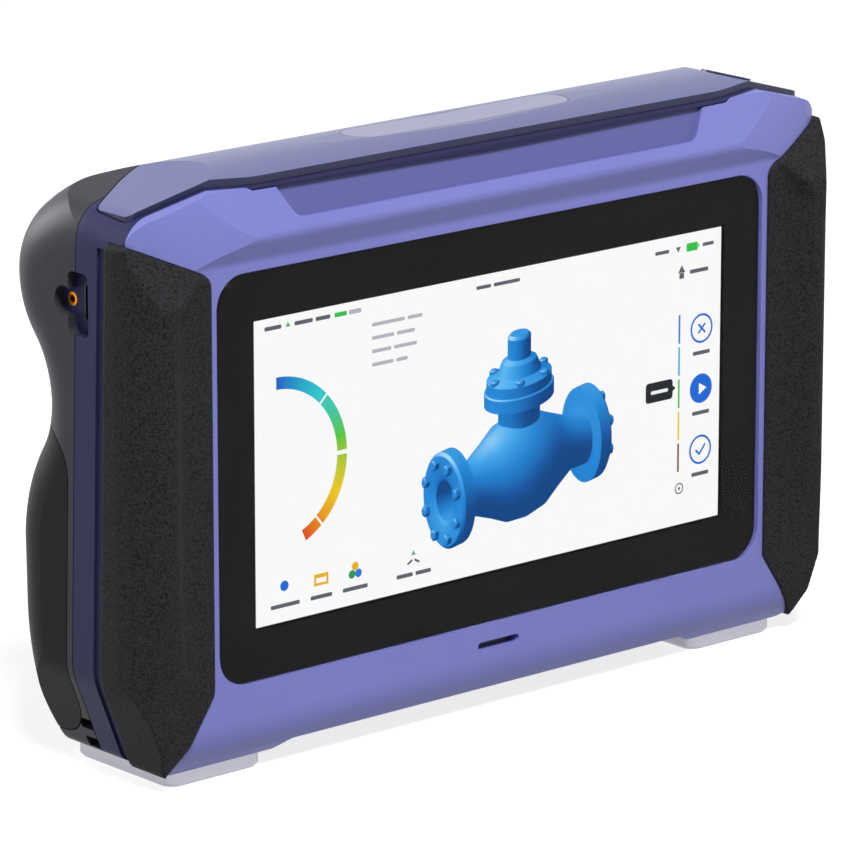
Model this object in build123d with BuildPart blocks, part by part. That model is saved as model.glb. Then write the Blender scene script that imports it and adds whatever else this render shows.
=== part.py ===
from build123d import *
import os

# Hand-held 3D scanner with a built-in screen, as an assembly of separate pieces.
# Frame: X to the user's right, Y from the screen towards the lenses, Z up. The origin is on the
# standing plane, in the middle of the width and depth. Lengths are in millimetres.

os.makedirs("parts", exist_ok=True)

# Overall sizes
overall_depth = 53.0
body_width = 199.0
top_height = 132.0
foot_height = 3.3
wall = 2.4
seam = 0.3
overrun = 5.0

# Grips stand proud of the glass and of the sides
grip_proud = 3.6
grip_side_proud = 1.0
glass_y = grip_proud - overall_depth / 2
body_half = body_width / 2

# Side profile, as depths behind the glass and heights above the standing plane
chin_height = 13.0
chin_depth = 4.5
brow_foot_drop = 19.2
brow_foot_height = top_height - brow_foot_drop
brow_drop = 14.4
brow_height = top_height - brow_drop
brow_proud = 2.3
brow_radius = 3.0
shelf_drop = 2.0
shelf_height = top_height - shelf_drop
shelf_depth = 2.0
crown_depth = 13.0
crown_bulge = 0.5
crown_reach = 16.0
dome_drop = 24.5
dome_height = top_height - dome_drop
dome_depth = overall_depth - grip_proud
nape_drop = 41.2
nape_height = top_height - nape_drop
nape_setback = 6.5
nape_depth = dome_depth - nape_setback
hip_drop = 60.5
hip_height = top_height - hip_drop
hip_setback = 7.8
hip_depth = dome_depth - hip_setback
pod_setback = 0.6
pod_depth = dome_depth - pod_setback
pod_drop = 81.4
pod_top_height = top_height - pod_drop
pod_low_drop = 97.3
pod_low_height = top_height - pod_low_drop
pod_low_setback = 0.9
pod_low_depth = dome_depth - pod_low_setback
heel_setback = 11.4
heel_depth = dome_depth - heel_setback

# Front outline, half widths and heights
belly_lift = 2.0
belly_inset = 42.5
belly_half = body_half - belly_inset
foot_ramp = 4.0
corner_inset = 8.5
corner_half = body_half - corner_inset
corner_height = 24.0
hump_rise = 0.4
shoulder_run = 28.5
hump_half = body_half - shoulder_run
shoulder_drop = 8.1
shoulder_height = top_height + hump_rise - shoulder_drop
top_sag = 0.6
corner_radius = 4.0
flank_radius = 12.0
shoulder_radius = 8.0
hump_radius = 24.0
ramp_radius = 3.0

# Plan outline, whose front corners fall back in a long sweep to the flanks
sweep_inset = 27.5
sweep_end_depth = 5.2
front_corner_radius = 3.0
rear_corner_radius = 14.0

# Places of the seams, behind the glass at the height of its centre, and their lean
front_seam_depth = 12.0
strip_depth = 15.2
strip_recess = 0.6
rear_seam_depth = 22.5
seam_lean = 2.1

# Cavity limits, so that the top and the optics face keep thick walls
ceiling_drop = 7.0
cavity_setback = 6.4
cavity_rear_depth = dome_depth - cavity_setback

# Cover glass and display
view_side_margin = 31.5
view_crown = 32.3
view_chin = 31.7
view_width = body_width - 2 * view_side_margin
view_height = top_height - view_crown - view_chin
border_width = 10.5
border_height = 10.6
glass_width = view_width + 2 * border_width
glass_height = view_height + 2 * border_height
glass_centre = view_chin + view_height / 2
glass_thickness = 1.1
glass_corner = 7.0
glass_gap = 0.2
glass_edge = 0.3
mask_thickness = 0.15
display_gap = 0.5
panel_margin = 5.0
panel_thickness = 2.6
panel_gap = 0.4
tray_margin = 4.0
tray_floor = 0.8

# Brow panel, a shallow trapezoid recess above the brow
panel_top_inset = 36.3
panel_top_half = body_half - panel_top_inset
panel_low_inset = 42.1
panel_low_half = body_half - panel_low_inset
panel_low_rise = 2.8
panel_low_height = brow_height + panel_low_rise
panel_recess = 1.3
panel_corner = 4.0
panel_draft = 30.0

# Scoops at the top corners, where the brow fades out: a start, a middle and an end station
scoop_start_inset = 41.5
scoop_middle_inset = 17.5
scoop_low_drop = 20.1
scoop_end_rise = 9.9
scoop_start_proud = 0.45
scoop_start_lean = 0.25
scoop_middle_proud = 0.6
scoop_middle_depth = 3.8
scoop_end_low_depth = 7.0
scoop_end_high_depth = 3.5
scoop_bow = 1.1
scoop_end_bow = 0.3

# Slot under the screen
slot_length = 12.0
slot_height = 1.8
slot_centre = 16.0
mesh_thickness = 0.4
mesh_margin = 1.2

# Grip outline, on the right hand side
grip_width = 19.3
grip_inner = body_half - grip_width
grip_low_height = 20.5
grip_tip_inset = 8.3
grip_tip_half = body_half - grip_tip_inset
grip_tip_height = 4.0
grip_inner_drop = 20.9
grip_top_inner_height = top_height - grip_inner_drop
grip_outer_drop = 12.2
grip_top_outer_height = top_height - grip_outer_drop
grip_seat = 1.0
grip_flange_proud = 0.5
grip_valley_inset = 10.5
grip_valley_half = body_half - grip_valley_inset
grip_valley_proud = 1.0
grip_roll_inset = 7.5
grip_roll_start = body_half - grip_roll_inset
grip_crest_inset = 4.0
grip_roll_end = body_half - grip_crest_inset
grip_nose_depth = 2.0
grip_nose_draft = 0.6
grip_valley_radius = 3.0
grip_roll_radius = 1.6
grip_nose_radius = 4.0
grip_crest_drop = 25.5
grip_edge_proud = 0.5
grip_low_fade = 46.0
grip_chin_depth = 4.2
grip_chin_height = 10.0
grip_top_corner = 4.0

# Top cover
cover_thickness = 1.7
cover_front_depth = 2.2
cover_bend_inset = 32.0
cover_bend_half = body_half - cover_bend_inset
cover_tip_inset = 3.4
cover_tip_half = body_half - cover_tip_inset
cover_tip_front_depth = 7.0
cover_tip_rear_depth = 17.5
cover_rear_depth = 26.0
cover_rear_inset = 19.0
cover_rear_half = body_half - cover_rear_inset
cover_corner = 2.0
cover_bend_radius = 30.0
cover_gap = 0.35
cover_bed_gap = 0.1
cover_reach = 14.0
cover_low = top_height - cover_reach

# Deck round the cover: level with it at one depth, lower in front of that by its pitch
deck_depth = 18.0
deck_pitch = 5.5

# Flange of the mid frame under the cover, which shows as a lip in front of its rim
flange_drop = 4.7
lip_width = 1.0
lip_bend_inset = 6.5
lip_end_depth = 4.6
lip_gap = 0.15

# Inlay in the top cover
inlay_length = 62.0
inlay_width = 10.4
inlay_depth = 14.6
inlay_thickness = 1.0
inlay_gap = 0.15

# Power button on the right shoulder
button_inset = 18.5
button_x = body_half - button_inset
button_depth = 14.8
button_radius = 4.3
button_gap = 0.3
button_height = 2.4
button_proud = 0.5
button_dish = 0.4
button_stem_radius = 1.6
button_travel = 0.7
collar_radius = 5.7
collar_proud = 0.5
button_stem = 5.4
switch_width = 8.0
switch_corner = 1.0
switch_base = 1.6
switch_play = 0.1

# Port bay on the left side
bay_drop = 27.4
bay_centre_height = top_height - bay_drop
bay_height = 13.7
bay_front_depth = 16.6
bay_rear_depth = 23.4
bay_lobe_radius = 3.2
bay_corner = 1.6
port_depth = 19.2
port_length = 9.0
port_width = 3.2
port_reach = 7.4
port_rim = 0.35
port_tongue_width = 0.7
port_tongue_length = 6.7
port_back = 1.2
insert_depth = 24.9
insert_radius = 1.5
insert_bore = 0.85
insert_length = 4.0
port_block_thickness = 6.0
port_block_margin = 1.4
fit = 0.05

# Rear pod and battery
pod_front_depth = 24.6
pod_rise = 4.0
pod_top = hip_height + pod_rise
pod_low = 6.5
pod_top_corner = 10.0
pod_low_corner = 10.0
bay_floor = 1.7
battery_inset = 26.5
battery_width = body_width - 2 * battery_inset
battery_corner = 4.0
battery_base = 16.8
battery_headroom = 10.7
battery_height = pod_top - battery_base - battery_headroom
battery_room = 11.5
battery_thickness = pod_low_depth - pod_front_depth - battery_room
battery_edge = 1.5

# Lanyard bar in the lower left corner of the rear housing
lanyard_depth = 26.4
lanyard_width = 4.4
lanyard_hole = 2.8
lanyard_bar = 2.2
lanyard_reach = 4.4
lanyard_height = 8.2
lanyard_block = 9.0
lanyard_skin = 2.2

# Lens window and optics
window_inset = 15.5
window_width = body_width - 2 * window_inset
window_height = 16.4
window_drop = 1.1
window_centre = dome_height - window_drop
window_thickness = 1.4
window_setback = 3.9
window_floor_depth = dome_depth - window_setback
window_gap = 0.15
window_lip = 2.2
window_corner = 4.0
beam_depth = 27.0
beam_thickness = 3.0
beam_inset = 9.5
beam_width = body_width - 2 * beam_inset
beam_height = 20.0
beam_flange = 5.0
beam_hole_radius = 3.0
beam_post_radius = 3.0
beam_post_inset = 39.5
beam_post_half = body_half - beam_post_inset
camera_inset = 27.5
camera_half = body_half - camera_inset
camera_body = 17.0
camera_body_share = 0.46
camera_barrel_radius = 5.6
camera_tip_reach = 2.0
lens_rim = 0.8
lens_dish = 1.0
camera_corner = 2.0
beam_flange_thickness = 2.0
beam_hole_pitch = 14.0
beam_hole_count = 12
projector_share = 0.167
projector_x = projector_share * camera_half
projector_width = 26.0
projector_barrel_radius = 5.5
texture_share = 0.222
texture_x = -texture_share * camera_half
texture_body = 12.0
texture_barrel_radius = 3.8
light_shares = (-0.694, -0.528, 0.528, 0.694)
light_xs = [share * camera_half for share in light_shares]
light_width = 9.0
light_board = 1.2
light_radius = 2.6
optics_gap = 0.4

# Main board
board_margin = 7.0
board_width = view_width + 2 * board_margin
board_height = view_height + 2 * board_margin
board_drop = 0.7
board_centre = glass_centre - board_drop
board_thickness = 1.6
board_depth = 9.4
board_hole_inset = 5.0
board_corner = 2.0
chip_width = 26.0
chip_height = 2.2
memory_width = 12.0
memory_height = 1.2
memory_pitch = 18.0
socket_width = 22.0
socket_height = 3.0
socket_depth = 4.0
board_screw_head = 2.3
board_screw_head_height = 1.4
board_screw_radius = 1.1

# Chassis plate of the mid frame
plate_depth = 17.8
plate_thickness = 1.9
plate_window_width = 52.0
plate_window_height = 46.0
plate_window_x = -34.0
plate_window_drop = 3.0
plate_window_z = board_centre - plate_window_drop
plate_slot_width = 40.0
plate_slot_height = 14.0
plate_slot_z = 28.0
plate_slot_half = 38.0
post_radius = 3.0

# Heat sink and fan
sink_base = 2.4
sink_fin_height = 6.2
sink_fin_thickness = 1.2
sink_fin_count = 11
sink_gap = 1.0
fan_x = 36.0
fan_drop = 5.0
fan_z = board_centre - fan_drop
fan_width = 44.0
fan_thickness = 8.0
fan_bore_radius = 19.5
fan_base = 1.4
fan_corner = 3.0
fan_intake = 26.0
fan_pin_radius = 1.5
fan_hub_radius = 8.0
fan_blade_count = 9
fan_blade_middle = 12.7
fan_blade_length = 12.4
fan_blade_thickness = 1.0
fan_blade_angle = 15.0
fan_run_gap = 0.4

# Vents in the finger waist
vent_count = 15
vent_pitch = 5.0
vent_width = 2.0
vent_height = 9.0
vent_drop = 7.8
vent_centre = nape_height - vent_drop

# Speaker behind the slot
speaker_length = 26.0
speaker_height = 6.4
speaker_reach = 5.0
speaker_cone_depth = 0.8
speaker_corner = 1.5

# Feet
foot_inner_inset = 36.9
foot_inner = body_half - foot_inner_inset
foot_outer_inset = 10.5
foot_outer = body_half - foot_outer_inset
foot_front_depth = 4.6
foot_rear_depth = heel_depth
foot_corner = 4.0
foot_edge = 0.8
foot_screw_sink = 0.4
foot_screw_head = 2.4
foot_screw_head_height = 1.6
foot_screw_radius = 1.2
foot_screw_length = 4.2
foot_screw_front_depth = 21.0
foot_screw_rear_depth = 33.0

# Housing screws
screw_inset = 15.5
screw_half = body_half - screw_inset
screw_drop = 9.3
screw_height = nape_height - screw_drop
low_screw_height = 30.0
screw_seat_setback = 9.9
screw_seat_depth = nape_depth - screw_seat_setback
low_screw_seat_depth = 25.2
screw_tip_depth = 18.6
screw_head = 2.7
screw_head_height = 1.8
screw_radius = 1.25
screw_bore = 3.1
screw_boss = 4.6
screw_drive = 1.0
screw_drive_depth = 1.0

# Tripod bush
bush_radius = 4.0
bush_bore = 2.7
bush_length = 9.0
bush_roof = 1.0
bush_depth = 20.0
bush_boss = 5.1


def behind(depth):
    """Place along Y of a depth behind the front of the glass."""
    return glass_y + depth


def face_plane(depth, x=0, z=0):
    """Plane parallel to the glass, with its normal to the rear and its local Y pointing down."""
    return Plane(origin=(x, behind(depth), z), x_dir=(1, 0, 0), z_dir=(0, 1, 0))


def rear_curve():
    """Draw the rear of the side profile, from the crown over dome, waist and pod to the heel."""
    crown = (behind(crown_depth), top_height)
    dome = (behind(dome_depth), dome_height)
    nape = (behind(nape_depth), nape_height)
    hip = (behind(hip_depth), hip_height)
    pod = (behind(pod_depth), pod_top_height)
    pod_low_point = (behind(pod_low_depth), pod_low_height)
    heel = (behind(heel_depth), foot_height)
    run = dome_depth - crown_depth
    rise = top_height - dome_height
    drop_reach = (run**2 + rise**2 - 2 * crown_reach * run) / (2 * (rise + crown_reach))
    turn_share = crown_reach / (crown_reach + drop_reach)
    turn = (
        behind(crown_depth + crown_reach + (run - crown_reach) * turn_share),
        top_height - (rise - drop_reach) * turn_share,
    )
    roof = TangentArc(crown, turn, tangent=(1, 0))
    TangentArc(turn, dome, tangent=roof % 1)
    neck = TangentArc(dome, nape, tangent=(0, -1))
    waist = TangentArc(nape, hip, tangent=neck % 1)
    TangentArc(hip, pod, tangent=waist % 1)
    tail = Line(pod, pod_low_point)
    return TangentArc(pod_low_point, heel, tangent=tail % 1)


def side_profile():
    """Side profile of the whole body: chin, glass, brow and shelf, then the curve of the rear."""
    chin_top = (glass_y, chin_height)
    chin_foot = (behind(chin_depth), foot_height)
    shelf = (behind(shelf_depth), shelf_height)
    TangentArc(chin_top, chin_foot, tangent=(0, -1))
    brow = [(glass_y, brow_foot_height), (glass_y - brow_proud, brow_height)]
    FilletPolyline(chin_top, *brow, shelf, radius=brow_radius)
    SagittaArc(shelf, (behind(crown_depth), top_height), crown_bulge)
    sole = rear_curve()
    Line(sole @ 1, chin_foot)


def rear_profile():
    """Curve of the rear, run on to the front and below the foot, so that its rounded rim has no ends."""
    front = glass_y - overall_depth
    sole = rear_curve()
    toe = sole @ 1 + (sole % 1) * overall_depth
    Polyline(sole @ 1, toe, (front, toe.Y), (front, top_height), (behind(crown_depth), top_height))


def front_outline():
    """Front outline: lifted belly, foot bumps, corner facets, flanks and sloping shoulders."""
    belly = foot_height + belly_lift
    hump = top_height + hump_rise
    half = [
        (belly_half, belly),
        (belly_half + foot_ramp, foot_height),
        (corner_half, foot_height),
        (body_half, corner_height),
        (body_half, shoulder_height),
        (hump_half, hump),
    ]
    radii = [ramp_radius, ramp_radius, corner_radius, flank_radius, shoulder_radius, hump_radius]
    right = FilletPolyline((0, belly), *half, (0, top_height - top_sag), radius=radii)
    mirror(right, about=Plane.YZ)


def outline_face(plane, draw, inset=0):
    """Face inside a drawn outline, drawn in by inset (or grown, where inset is negative)."""
    with BuildSketch(plane) as face:
        with BuildLine():
            draw()
        make_face()
        if inset:
            offset(amount=-inset)
    return face.sketch


def plan_face(inset):
    """Plan of the body, with the long sweep of its front corners."""
    front = glass_y - brow_proud
    rear = behind(dome_depth)
    corner = (body_half, behind(sweep_end_depth))
    with BuildSketch() as face:
        with BuildLine():
            sweep = TangentArc((body_half - sweep_inset, front), corner, tangent=(1, 0))
            Line((0, front), sweep @ 0)
            Polyline(corner, (body_half, rear), (0, rear))
            mirror(about=Plane.YZ)
        make_face()
        fillet(face.vertices().group_by(Axis.X)[0].sort_by(Axis.Y)[0], radius=front_corner_radius)
        fillet(face.vertices().group_by(Axis.X)[-1].sort_by(Axis.Y)[0], radius=front_corner_radius)
        if inset:
            offset(amount=-inset)
    return face.sketch


def envelope(inset):
    """Make the outer form of the body, drawn in by inset on every side, as the part under way."""
    rear = extrude(outline_face(Plane.YZ, rear_profile, inset), amount=body_half - inset, both=True)
    rims = [rear.faces().sort_by(Axis.X)[end].edges().sort_by(Axis.Y)[-1] for end in (0, -1)]
    fillet(rims, radius=rear_corner_radius - inset)
    side = outline_face(Plane.YZ, side_profile, inset)
    extrude(side, amount=body_width, both=True, mode=Mode.INTERSECT)
    front = outline_face(Plane.XZ, front_outline, inset)
    extrude(front, amount=overall_depth, both=True, mode=Mode.INTERSECT)
    extrude(plan_face(inset), amount=top_height + hump_rise + overrun, mode=Mode.INTERSECT)
    scoops(inset)


def scoop_face(x, low, high, bow):
    """Section of a scoop across X: the hollow line from low to high, closed in front of the body."""
    front = glass_y - brow_proud - overrun
    with BuildSketch(Plane.YZ.offset(x)) as face:
        with BuildLine():
            SagittaArc(low, high, bow)
            Polyline(high, (front, high[1]), (front, low[1]), low)
        make_face()
    return face.sketch


def scoops(inset):
    """Hollow out both top corners of the part under way, deeper by inset."""
    foot = top_height - scoop_low_drop
    crown = top_height + overrun
    proud = glass_y - brow_proud - scoop_start_proud + inset
    stations = [
        scoop_face(
            body_half - scoop_start_inset,
            (proud, foot),
            (proud + scoop_start_lean, crown),
            scoop_end_bow,
        ),
        scoop_face(
            body_half - scoop_middle_inset,
            (behind(inset - scoop_middle_proud), foot),
            (behind(inset + scoop_middle_depth), crown),
            scoop_bow,
        ),
        scoop_face(
            body_half + overrun,
            (behind(inset + scoop_end_low_depth), foot + scoop_end_rise),
            (behind(inset + scoop_end_high_depth), crown),
            scoop_end_bow,
        ),
    ]
    hollow = loft(stations, mode=Mode.SUBTRACT)
    mirror(hollow, about=Plane.YZ, mode=Mode.SUBTRACT)


def slab(front_depth, rear_depth, mode, lean=0):
    """Keep or cut everything between two depths behind the glass, deeper at the foot where it leans."""
    with BuildSketch(face_plane(front_depth, z=glass_centre).rotated((lean, 0, 0))) as face:
        Rectangle(2 * body_width, 2 * top_height)
    extrude(face.sketch, amount=rear_depth - front_depth, mode=mode)


def cover_outline():
    """Plan of the top cover, with pointed shoulders."""
    half = [
        (cover_bend_half, behind(cover_front_depth)),
        (cover_tip_half, behind(cover_tip_front_depth)),
        (cover_tip_half, behind(cover_tip_rear_depth)),
        (cover_rear_half, behind(cover_rear_depth)),
    ]
    radii = [cover_bend_radius, cover_corner, cover_corner, cover_bend_radius]
    right = FilletPolyline(
        (0, behind(cover_front_depth)), *half, (0, behind(cover_rear_depth)), radius=radii
    )
    mirror(right, about=Plane.YZ)


def lip_outline():
    """Plan of the flange under the cover, which comes forward to the flanks in front of the cover's tips."""
    front = behind(cover_front_depth - lip_width)
    outer = body_half + overrun
    bend = body_half - lip_bend_inset
    fall_share = (bend - cover_bend_half) / (cover_tip_half - cover_bend_half)
    bend_y = front + fall_share * (cover_tip_front_depth - cover_front_depth)
    half = [
        (cover_bend_half, front),
        (bend, bend_y),
        (outer, behind(lip_end_depth)),
        (outer, behind(cover_rear_depth)),
    ]
    right = FilletPolyline((0, front), *half, (0, behind(cover_rear_depth)), radius=cover_corner)
    mirror(right, about=Plane.YZ)


def grip_outline():
    """Front view of the right grip: straight inner edge, slanted top and pointed foot."""
    outer = body_half + grip_side_proud + overrun
    foot_slope = (grip_tip_half - grip_inner) / (grip_low_height - grip_tip_height)
    foot_x = grip_tip_half + foot_slope * grip_tip_height
    top_slope = (grip_top_outer_height - grip_top_inner_height) / (body_half - grip_inner)
    outer_top = grip_top_outer_height + top_slope * (outer - body_half)
    return [
        (grip_inner, grip_low_height),
        (grip_inner, grip_top_inner_height),
        (outer, outer_top),
        (outer, 0),
        (foot_x, 0),
    ]


# Slope above the brow, and the shoulder plane that carries the button
slope_run = shelf_depth + brow_proud
slope_rise = shelf_height - brow_height
slope_plane = Plane(
    origin=(0, glass_y - brow_proud, brow_height), x_dir=(1, 0, 0), z_dir=(0, -slope_rise, slope_run)
)
slope_stretch = (slope_run**2 + slope_rise**2) ** 0.5 / slope_rise
button_z = top_height + hump_rise - shoulder_drop * (button_x - hump_half) / shoulder_run
button_plane = Plane(
    origin=(button_x, behind(button_depth), button_z),
    x_dir=(shoulder_run, 0, -shoulder_drop),
    z_dir=(shoulder_drop, 0, shoulder_run),
)
switch_floor = button_height + button_stem
switch_roof = ceiling_drop * shoulder_run / (shoulder_run**2 + shoulder_drop**2) ** 0.5
foot_centre = (foot_inner + foot_outer) / 2

# Lower left corner facet, with its local Y pointing down the facet
facet_run = body_half - corner_half
facet_rise = corner_height - foot_height
facet_plane = Plane(
    origin=(
        -corner_half - facet_run * (lanyard_height - foot_height) / facet_rise,
        behind(lanyard_depth),
        lanyard_height,
    ),
    x_dir=(0, 1, 0),
    z_dir=(-facet_rise, 0, -facet_run),
)

# Whole body, from which the shells are cut
with BuildPart() as body:
    envelope(0)

# Top of the body without its rounded rims, from which the cover is cut
with BuildPart() as cap:
    extrude(outline_face(Plane.YZ, side_profile), amount=body_width, both=True)
    sharp_front = outline_face(Plane.XZ, front_outline)
    extrude(sharp_front, amount=overall_depth, both=True, mode=Mode.INTERSECT)

# Prism of the front outline, which gives the ceiling and the deck their form
with BuildPart() as roof:
    extrude(outline_face(Plane.XZ, front_outline), amount=2 * overall_depth, both=True)

# Space above the deck, which falls to the front so that the cover stands proud there
with BuildPart() as deck_cut:
    deck_fall = shelf_drop / (crown_depth - shelf_depth)
    deck_points = [
        (behind(crown_depth), top_height),
        (behind(crown_depth - overall_depth), top_height - deck_fall * overall_depth),
        (behind(crown_depth - overall_depth), 2 * top_height),
        (behind(2 * overall_depth), 2 * top_height),
        (behind(2 * overall_depth), top_height),
    ]
    with BuildSketch(Plane.XY.offset(cover_low)):
        Rectangle(2 * body_width, 2 * overall_depth)
    extrude(amount=top_height)
    add(roof.part, mode=Mode.SUBTRACT)
    with BuildSketch(Plane.YZ):
        with BuildLine():
            Polyline(*deck_points, close=True)
        make_face()
    extrude(amount=body_width, both=True)
deck_axis = Axis((0, behind(deck_depth), top_height), (1, 0, 0))
deck_space = deck_cut.part.rotate(deck_axis, deck_pitch)

# Cavity, with a lower ceiling and a flat rear face
with BuildPart() as cavity:
    envelope(wall)
    slab(0, cavity_rear_depth, Mode.INTERSECT)
    with Locations((0, 0, -ceiling_drop)):
        add(roof.part, mode=Mode.INTERSECT)

# Body drawn in by the depth of the grip seats, and by the wall of the pod
with BuildPart() as grip_bed:
    envelope(grip_seat)

with BuildPart() as pod_room:
    envelope(wall)

# Body drawn in to the middle of its skin, which trims the walls that end in it
with BuildPart() as core:
    envelope(wall / 2)

# Prism of the right grip's front view
with BuildPart() as grip_block:
    with BuildSketch(face_plane(-grip_proud - overrun)) as grip_face:
        with BuildLine():
            Polyline(*[(x, -z) for x, z in grip_outline()], close=True)
        make_face()
        corners = grip_face.vertices().group_by(Axis.X)[0]
        fillet(corners.sort_by(Axis.Y)[0], radius=grip_top_corner)
    extrude(amount=overall_depth)
    slab(front_seam_depth - seam, overall_depth, Mode.SUBTRACT, seam_lean)

# Seats of both grips in the front shell
with BuildPart() as grip_seats:
    add(grip_block.part)
    add(grip_bed.part, mode=Mode.SUBTRACT)
    mirror(about=Plane.YZ)

# Seat of the top cover, and of its inlay
with BuildPart() as cover_bed:
    bed_face = outline_face(Plane.XY.offset(cover_low), cover_outline, -cover_gap)
    extrude(bed_face, amount=top_height - cover_low + overrun)
    with Locations((0, 0, -cover_thickness - cover_bed_gap)):
        add(cap.part, mode=Mode.SUBTRACT)

# Flange of the mid frame under the cover, and the room for it in the front shell
with BuildPart() as flange:
    flange_face = outline_face(Plane.XY.offset(cover_low), lip_outline)
    extrude(flange_face, amount=top_height - cover_low + overrun)
    with Locations((0, 0, -flange_drop)):
        add(roof.part, mode=Mode.SUBTRACT)
    add(body.part, mode=Mode.INTERSECT)
    add(grip_seats.part, mode=Mode.SUBTRACT)
    slab(-overall_depth, front_seam_depth + overrun, Mode.INTERSECT, seam_lean)

with BuildPart() as flange_room:
    room_face = outline_face(Plane.XY.offset(cover_low - seam), lip_outline, -lip_gap)
    extrude(room_face, amount=top_height - cover_low + overrun)
    with Locations((0, 0, -flange_drop - seam)):
        add(roof.part, mode=Mode.SUBTRACT)

# Channel between the grips and the band of the mid frame
with BuildPart() as strip_floor:
    envelope(strip_recess)

with BuildPart() as strip_cut:
    slab(front_seam_depth - overrun, strip_depth, Mode.ADD, seam_lean)
    add(strip_floor.part, mode=Mode.SUBTRACT)

with BuildPart() as inlay_bed:
    with BuildSketch(Plane.XY.offset(cover_low)):
        with Locations((0, behind(inlay_depth))):
            SlotOverall(inlay_length + 2 * inlay_gap, inlay_width + 2 * inlay_gap)
    extrude(amount=top_height - cover_low + overrun)
    with Locations((0, 0, -inlay_thickness)):
        add(body.part, mode=Mode.SUBTRACT)

# Room for the boss of the tripod bush, which crosses both seams
with BuildPart() as bush_room:
    with BuildSketch(Plane.XY):
        with Locations((0, behind(bush_depth))):
            Circle(bush_boss + seam)
    extrude(amount=foot_height + belly_lift + bush_length + wall + seam)

# Right grip: a flange along the glass that swells into a rounded roll round the corner
with BuildPart() as right_grip:
    grip_side = body_half + grip_side_proud
    roll_points = [
        (grip_inner - overrun, behind(-grip_flange_proud)),
        (grip_valley_half, behind(-grip_valley_proud)),
        (grip_roll_start, behind(-grip_proud)),
        (grip_roll_end, behind(-grip_proud)),
        (grip_side - grip_nose_draft, behind(grip_nose_depth)),
        (grip_side + grip_nose_draft, behind(front_seam_depth)),
    ]
    roll_radii = [grip_valley_radius, grip_roll_radius, grip_nose_radius, grip_nose_radius]
    with BuildSketch(Plane.XY):
        with BuildLine():
            roll = FilletPolyline(*roll_points, radius=roll_radii)
            Polyline(
                roll @ 1,
                (grip_side + grip_nose_draft, overall_depth),
                (grip_inner - overrun, overall_depth),
                roll @ 0,
            )
        make_face()
    extrude(amount=top_height)
    fade_points = [
        (overall_depth, top_height),
        (behind(-grip_proud), top_height),
        (behind(-grip_proud), grip_low_fade),
        (behind(-grip_flange_proud), grip_low_height),
        (behind(-grip_flange_proud), grip_chin_height),
        (behind(grip_chin_depth), 0),
        (overall_depth, 0),
    ]
    with BuildSketch(Plane.YZ):
        with BuildLine():
            Polyline(*fade_points, close=True)
        make_face()
    extrude(amount=body_width, mode=Mode.INTERSECT)
    # Slanted facet from the crest of the roll up to the edge along the shell
    edge_inner = Vector(grip_inner, behind(-grip_flange_proud), grip_top_inner_height)
    edge_outer = Vector(body_half, behind(sweep_end_depth - grip_edge_proud), grip_top_outer_height)
    crest = Vector(grip_roll_end, behind(-grip_proud), top_height - grip_crest_drop)
    edge = edge_outer - edge_inner
    with BuildSketch(Plane(origin=edge_inner, x_dir=edge, z_dir=edge.cross(crest - edge_inner))):
        Rectangle(2 * body_width, 2 * top_height)
    extrude(amount=-overall_depth, mode=Mode.SUBTRACT)
    grown_front = outline_face(Plane.XZ, front_outline, -grip_side_proud)
    extrude(grown_front, amount=overall_depth, both=True, mode=Mode.INTERSECT)
    add(grip_block.part, mode=Mode.INTERSECT)
    add(grip_bed.part, mode=Mode.SUBTRACT)
right_grip.part.label = "right_grip"
export_step(right_grip.part, "parts/right_grip.step")

with BuildPart() as left_grip:
    mirror(right_grip.part, about=Plane.YZ)
left_grip.part.label = "left_grip"
export_step(left_grip.part, "parts/left_grip.step")

# Front shell: brow, recessed panel, glass pocket, grip seats and slot
with BuildPart() as front_shell:
    add(body.part)
    slab(-overall_depth, front_seam_depth - seam, Mode.INTERSECT, seam_lean)
    add(cavity.part, mode=Mode.SUBTRACT)
    add(grip_seats.part, mode=Mode.SUBTRACT)
    add(flange_room.part, mode=Mode.SUBTRACT)
    add(deck_space, mode=Mode.SUBTRACT)
    with BuildSketch(face_plane(-brow_proud, z=glass_centre)):
        RectangleRounded(glass_width + 2 * glass_gap, glass_height + 2 * glass_gap, glass_corner + glass_gap)
    extrude(amount=brow_proud + glass_thickness + mask_thickness, mode=Mode.SUBTRACT)
    with BuildSketch(face_plane(0, z=glass_centre)):
        Rectangle(
            view_width + 2 * (panel_margin + panel_gap), view_height + 2 * (panel_margin + panel_gap)
        )
    extrude(amount=wall + overrun, mode=Mode.SUBTRACT)
    panel_low = (panel_low_height - brow_height) * slope_stretch
    panel_top = slope_rise * slope_stretch
    with BuildSketch(slope_plane) as panel_face:
        with BuildLine():
            Polyline(
                (-panel_low_half, panel_low),
                (panel_low_half, panel_low),
                (panel_top_half, panel_top),
                (panel_top_half, panel_top + overrun),
                (-panel_top_half, panel_top + overrun),
                (-panel_top_half, panel_top),
                close=True,
            )
        make_face()
        fillet(panel_face.vertices().group_by(Axis.Y)[0], radius=panel_corner)
    extrude(amount=-panel_recess, taper=panel_draft, mode=Mode.SUBTRACT)
    with BuildSketch(face_plane(-brow_proud, z=slot_centre)):
        SlotOverall(slot_length, slot_height)
    extrude(amount=brow_proud + wall + overrun, mode=Mode.SUBTRACT)
    add(bush_room.part, mode=Mode.SUBTRACT)
front_shell.part.label = "front_shell"
export_step(front_shell.part, "parts/front_shell.step")

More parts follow.
